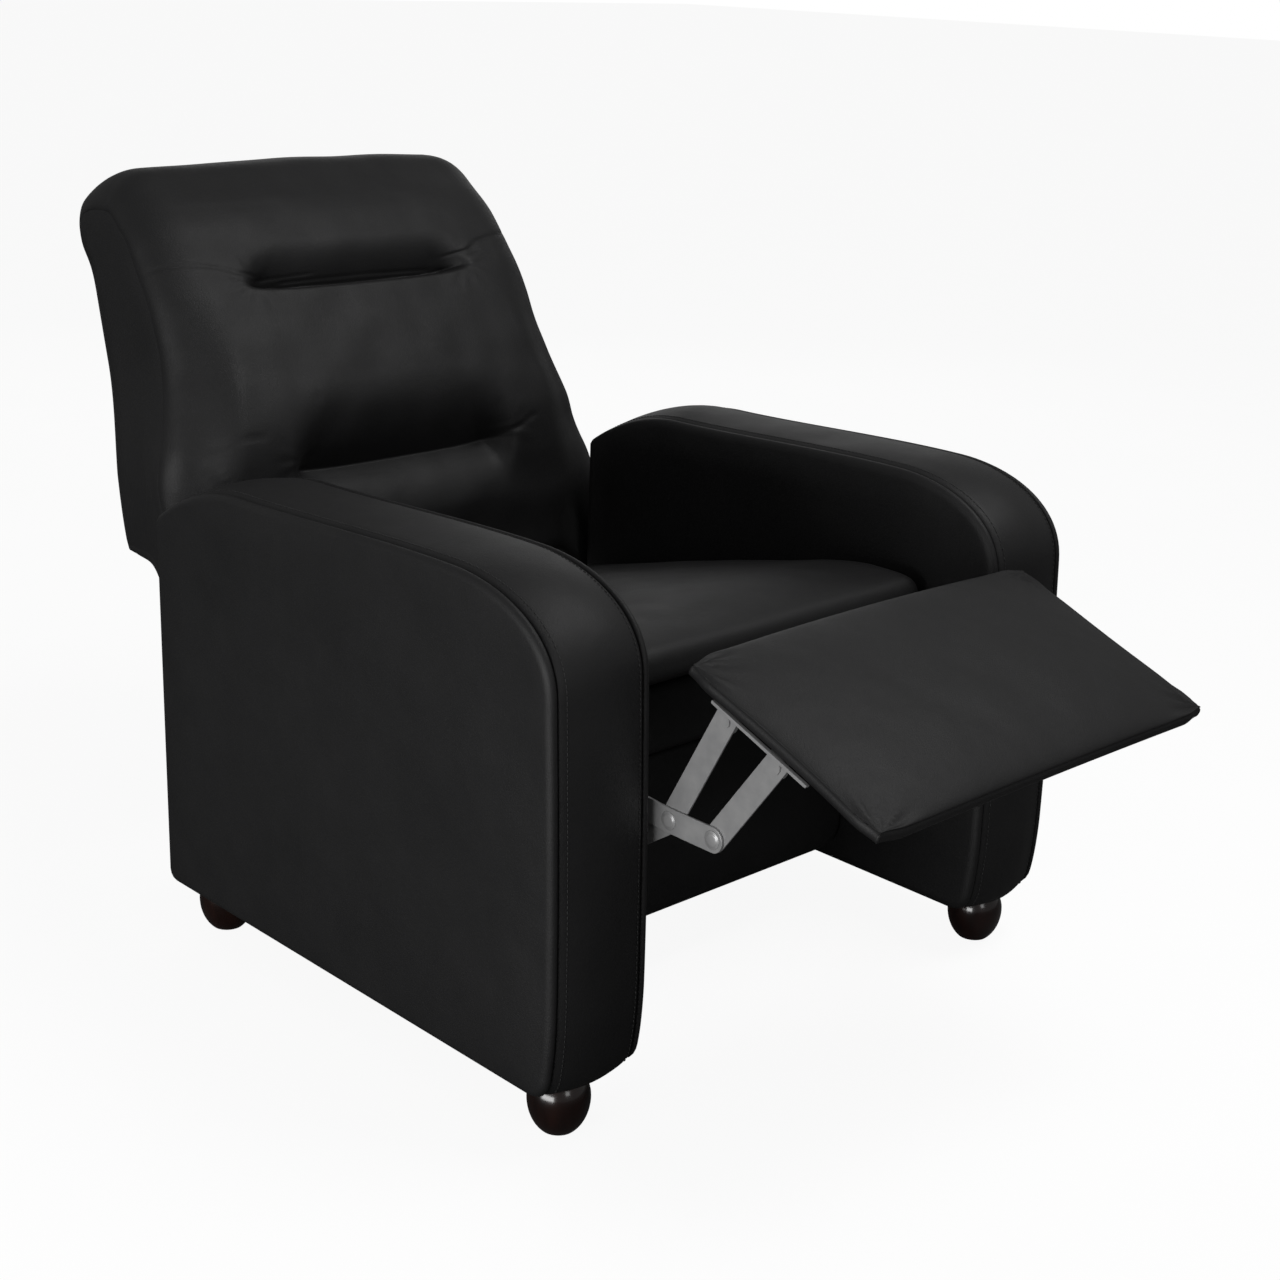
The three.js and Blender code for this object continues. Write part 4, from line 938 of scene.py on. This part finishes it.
def footrest_pad():
    """The footrest's pad: its top, and rings down its side to a flat underside."""
    top = rest_top()
    rows, columns = top.shape[:2]
    faces = grid_faces(rows, columns)
    border = (
        [(i, 0) for i in range(rows)]
        + [(rows - 1, j) for j in range(1, columns)]
        + [(i, columns - 1) for i in range(rows - 2, -1, -1)]
        + [(0, j) for j in range(columns - 2, 0, -1)]
    )
    rim = np.array([top[i, j] for i, j in border])
    previous = [i * columns + j for i, j in border]
    outward = outward_normals(rim[:, :2])
    points = [top.reshape(-1, 3)]
    start = rows * columns
    for outward_by, height in REST_SIDE:
        flat = rim[:, :2] + outward * outward_by
        points.append(np.column_stack([flat, np.full(len(rim), height)]))
        current = list(range(start, start + len(rim)))
        for k in range(len(rim)):
            after = (k + 1) % len(rim)
            faces.append((previous[k], previous[after], current[after], current[k]))
        previous = current
        start += len(rim)
    faces.append(tuple(previous))
    obj = mesh_object("footrest_pad_cover", footrest_frame(np.vstack(points)), faces, leatherette)
    finish_piece(obj, "footrest", ["footrest_pad", "footrest_board"])


footrest_pad()


# Steel strips and rivets

LAYER_PITCH, STEEL, CLEARANCE = 2.9, 2.5, 0.3
STRIP_RADIUS, STRIP_BEVEL = 12.5, 0.45
# A nearly square end reaches SQUARE_RADIUS, and its corners are cut at SQUARE_CUT (ahead, aside).
SQUARE_RADIUS, SQUARE_CUT = 15.0, (12.4, 8.4)
PIN_RADIUS, RIVET_RADIUS, RIVET_HEIGHT, TAIL_PIN = 3.4, 6.6, 1.4, 5.0
# Places (y, z) of the pivots.
FOLD = np.array([-520.0, 325.0])
CROSS = FOLD + (-140.5, -8.5)
TIP = CROSS + (-56.0, -0.5)
TAIL_TURN = math.radians(-34)
TAIL = CROSS + 52 * np.array([math.cos(TAIL_TURN), math.sin(TAIL_TURN)])
REAR_LINK = FOLD + (44.0, -30.0)
EAR_DROP = 13.0
FLANGE_X, FLANGE_Y, FLANGE_Z, FLANGE_EDGE = (243.6, 247.4), (-40.0, -164.0), (-17.3, -13.7), 0.6


def layer(number):
    """The outer and inner |x| of a layer of steel, counted from the arm's inner face."""
    outer = ARM_INNER - CLEARANCE - number * LAYER_PITCH
    return outer, outer - STEEL


def angle_of(way):
    return math.degrees(math.atan2(way[1], way[0]))


def square_end(point, right, ahead):
    """A nearly square end with cut corners, from the right of the way round to its left."""
    corner = math.sqrt(SQUARE_RADIUS**2 - STRIP_RADIUS**2)
    cut = np.linspace(math.atan2(corner, STRIP_RADIUS), math.atan2(*SQUARE_CUT), 6)
    line = [point + right * STRIP_RADIUS]
    for side, angles in ((right, cut), (-right, cut[::-1])):
        for angle in angles:
            line.append(point + SQUARE_RADIUS * (side * math.cos(angle) + ahead * math.sin(angle)))
    return [*line, point - right * STRIP_RADIUS]


def strip_bend(point, before, after):
    """The right side of a bend between two ways: round outside, sharp inside."""
    first, second = [np.array([way[1], -way[0]]) for way in (before, after)]
    if before[0] * after[1] - before[1] * after[0] > 0:
        start, end = angle_of(first), angle_of(second)
        return list(arc(point, (STRIP_RADIUS, STRIP_RADIUS), start, end + 360 * (end < start), 8))
    middle = unit(first + second)
    return [point + middle * STRIP_RADIUS / max(np.dot(middle, first), 0.2)]


def strip_outline(path, square_at):
    """The outline of a flat bar along a path in (y, z); the end at square_at is nearly square."""
    outline = []
    for points, square in ((path, square_at == "end"), (path[::-1], square_at == "start")):
        ways = [unit(b - a) for a, b in zip(points, points[1:])]
        for point, before, after in zip(points[1:], ways, ways[1:]):
            outline += strip_bend(point, before, after)
        ahead = ways[-1]
        right = np.array([ahead[1], -ahead[0]])
        if square:
            outline += square_end(points[-1], right, ahead)
        else:
            start = angle_of(right)
            outline += list(arc(points[-1], (STRIP_RADIUS, STRIP_RADIUS), start, start + 180, 22))
    return np.array(outline)


def strip(name, path, sign, number, body, node, square_at=None):
    """A flat steel bar with bevelled edges, in the given layer."""
    outline = strip_outline(path, square_at)
    normal = outward_normals(outline)
    outer, inner = layer(number)
    small, bevel = STRIP_BEVEL * 0.3, STRIP_BEVEL
    section = ((outer, bevel), (outer - small, small), (outer - bevel, 0))
    section += ((inner + bevel, 0), (inner + small, small), (inner, bevel))
    rings = [at_x(sign * x, outline - normal * inward) for x, inward in section]
    obj = ring_mesh(name, rings, steel)
    for polygon in obj.data.polygons:
        polygon.use_smooth = abs(polygon.normal.x) < 0.9
    finish_piece(obj, body, [node])


def rivet(name, point, sign, body, tail):
    """A domed rivet head on a washer at the outer face, or a tail with its pin at the inner one."""
    face, away = (layer(4)[1] - CLEARANCE, -1.0) if tail else (layer(3)[0], 1.0)
    profile = [(PIN_RADIUS, TAIL_PIN if tail else 0.0), (PIN_RADIUS, 0.0)]
    for wider, height in ((2.2, 0.02), (2.6, 0.2), (2.2, 0.45), (0.0, 0.5)):
        profile.append((RIVET_RADIUS + wider, height))
    for turn in np.radians((12, 28, 45, 62, 80)):
        profile.append((RIVET_RADIUS * math.cos(turn), 0.5 + (RIVET_HEIGHT - 0.5) * math.sin(turn)))
    profile.append((0.4, RIVET_HEIGHT + 0.02))
    profile = [(radius, sign * away * height) for radius, height in profile]
    obj = lathe(name, profile, (sign * face, point[0], point[1]), steel, segments=32, axis="x")
    finish_piece(obj, body)


def ear(distance):
    """The place (y, z) of the footrest bracket's ear at a distance from the pad's rear."""
    return footrest_frame(np.array([0.0, -distance, -REST_EDGE - EAR_DROP]))[1:]


REAR_EAR, FRONT_EAR = ear(56), ear(122)


def flange_lip(side, sign):
    """The thin outer edge of the footrest's bracket, under the pad's side."""
    (low, high), (start, end), (foot_z, top_z), edge = FLANGE_X, FLANGE_Y, FLANGE_Z, FLANGE_EDGE
    section = [(low, foot_z + edge), (low + edge, foot_z), (high - edge, foot_z)]
    section += [(high, foot_z + edge), (high, top_z), (low, top_z)]
    rings = []
    for y, shrink in ((start, 0.5), (start - edge, 0.0), (end + 3, 0.0), (end + 1, 0.25), (end, 1.0)):
        rings.append([(sign * x, y, z + shrink * (1.5 if z < -15 else 0.0)) for x, z in section])
    obj = ring_mesh(f"{side}_footrest_flange", footrest_frame(np.array(rings)), steel)
    obj.data.polygons.foreach_set("use_smooth", [False] * len(obj.data.polygons))
    finish_piece(obj, "footrest")


for side, sign in SIDES:
    for name, path, number, body, node, square_at in (
        ("carrier", [FOLD, CROSS, TIP], 3, "footrest_carriers", "carrier_link", None),
        ("lever", [REAR_EAR, CROSS, TAIL], 4, "long_levers", "long_lever", "start"),
        ("front", [TIP, FRONT_EAR], 4, "front_links", "front_link", "end"),
        ("rear", [REAR_LINK, TAIL], 3, "rear_links", "rear_link", None),
    ):
        strip(f"{side}_{name}_strip", path, sign, number, body, f"{side}_{node}", square_at)
    flange_lip(side, sign)
    for ending, tail in (("", False), ("_tail", True)):
        for label, point in (("cross", CROSS), ("tip", TIP)):
            rivet(f"{side}_{label}_rivet{ending}", point, sign, "footrest_carriers", tail)
    rivet(f"{side}_tail_rivet", TAIL, sign, "rear_links", tail=True)


# Stage, camera and light

WORLD_LIGHT, WORLD_GLOSS = 0.15, 0.22
FLOOR_REACH_M, FLOOR_Z_M, FLOOR_GLOW = 30.0, -0.0006, 0.92
# Name, place, target, size and watts of each lamp.
SOFTBOXES_M = (
    ("top_softbox", (0.7, -1.0, 2.8), (0, -0.1, 0.4), (1.2, 1.2), 23.0),
    ("left_softbox", (-3.3, -0.7, 0.45), (0, 0, 0.35), (2.6, 0.8), 62.0),
    ("front_softbox", (-0.7, -3.3, 1.4), (0, 0.3, 0.6), (0.8, 0.8), 6.0),
    ("rear_softbox", (2.3, 2.6, 1.5), (0, 0, 0.5), (2.6, 1.2), 7.0),
)
# The camera's place, and its yaw, pitch and roll in radians, fitted to a picture of PICTURE_PIXELS.
CAMERA_M, CAMERA_TURNS = (-1.5063, -1.9078, 1.0790), (0.773677, 0.320112, 0.0362645)
PICTURE_PIXELS, FOCAL_PIXELS, SENSOR = 1280, 2090.8, 36.0


def add_floor():
    """A pale floor: white to the camera, with the object's shadow, and plain grey in the gloss."""
    mesh = bpy.data.meshes.new("studio_floor")
    low, high = -FLOOR_REACH_M, FLOOR_REACH_M
    mesh.from_pydata([(low, low, 0), (high, low, 0), (high, high, 0), (low, high, 0)], [], [(0, 1, 2, 3)])
    floor = bpy.data.objects.new("studio_floor", mesh)
    floor.location.z = FLOOR_Z_M
    bpy.context.scene.collection.objects.link(floor)
    n = Nodes("pale_floor")
    n.tint(n.noise(3.0), 0.135, 0.145)
    n.set(Roughness=0.95, Specular_IOR_Level=0.0, Emission_Color=(1, 1, 1, 1))
    path = n.add("LightPath")
    n.into("Emission Strength", n.mapped(path.outputs["Is Camera Ray"], 0.0, FLOOR_GLOW))
    mesh.materials.append(n.material)


def add_world():
    """White to the camera, a plain grey studio in reflections, and an even light."""
    world = bpy.data.worlds.new("studio")
    bpy.context.scene.world = world
    world.use_nodes = True
    tree = world.node_tree
    tree.nodes.clear()
    make, link = tree.nodes.new, tree.links.new
    output, path = make("ShaderNodeOutputWorld"), make("ShaderNodeLightPath")

    def background(strength):
        node = make("ShaderNodeBackground")
        node.inputs["Strength"].default_value = strength
        node.inputs["Color"].default_value = (1, 1, 1, 1)
        return node.outputs[0]

    shader = background(WORLD_LIGHT)
    for strength, ray in ((WORLD_GLOSS, "Glossy"), (WORLD_GLOSS, "Transmission"), (1.0, "Camera")):
        mix = make("ShaderNodeMixShader")
        link(path.outputs[f"Is {ray} Ray"], mix.inputs["Fac"])
        link(shader, mix.inputs[1])
        link(background(strength), mix.inputs[2])
        shader = mix.outputs[0]
    link(shader, output.inputs["Surface"])


def add_softbox(name, location, target, size, power):
    """A rectangular area lamp that faces its target."""
    data = bpy.data.lights.new(name, "AREA")
    data.shape = "RECTANGLE"
    data.size, data.size_y = size
    data.energy = power
    lamp = bpy.data.objects.new(name, data)
    bpy.context.scene.collection.objects.link(lamp)
    lamp.location = location
    way = Vector(target) - Vector(location)
    lamp.rotation_euler = way.to_track_quat("-Z", "Y").to_euler()


def add_camera():
    """The photograph's camera, as fitted."""
    yaw, pitch, roll = CAMERA_TURNS
    level = math.cos(pitch)
    ahead = Vector((math.sin(yaw) * level, math.cos(yaw) * level, -math.sin(pitch)))
    right = ahead.cross(Vector((0, 0, 1))).normalized()
    up = right.cross(ahead)
    rolled_right = right * math.cos(roll) + up * math.sin(roll)
    rolled_up = up * math.cos(roll) - right * math.sin(roll)
    data = bpy.data.cameras.new("photo_camera")
    data.sensor_width = SENSOR
    data.lens = FOCAL_PIXELS / PICTURE_PIXELS * SENSOR
    camera = bpy.data.objects.new("photo_camera", data)
    bpy.context.scene.collection.objects.link(camera)
    place_m = Vector(CAMERA_M) + Vector((0, rear_face_m, 0))
    turn = Matrix((rolled_right, rolled_up, -ahead)).transposed().to_4x4()
    camera.matrix_world = Matrix.Translation(place_m) @ turn
    bpy.context.scene.camera = camera


add_floor()
add_world()
for softbox in SOFTBOXES_M:
    add_softbox(*softbox)
add_camera()
bpy.context.scene.view_settings.view_transform = "Standard"
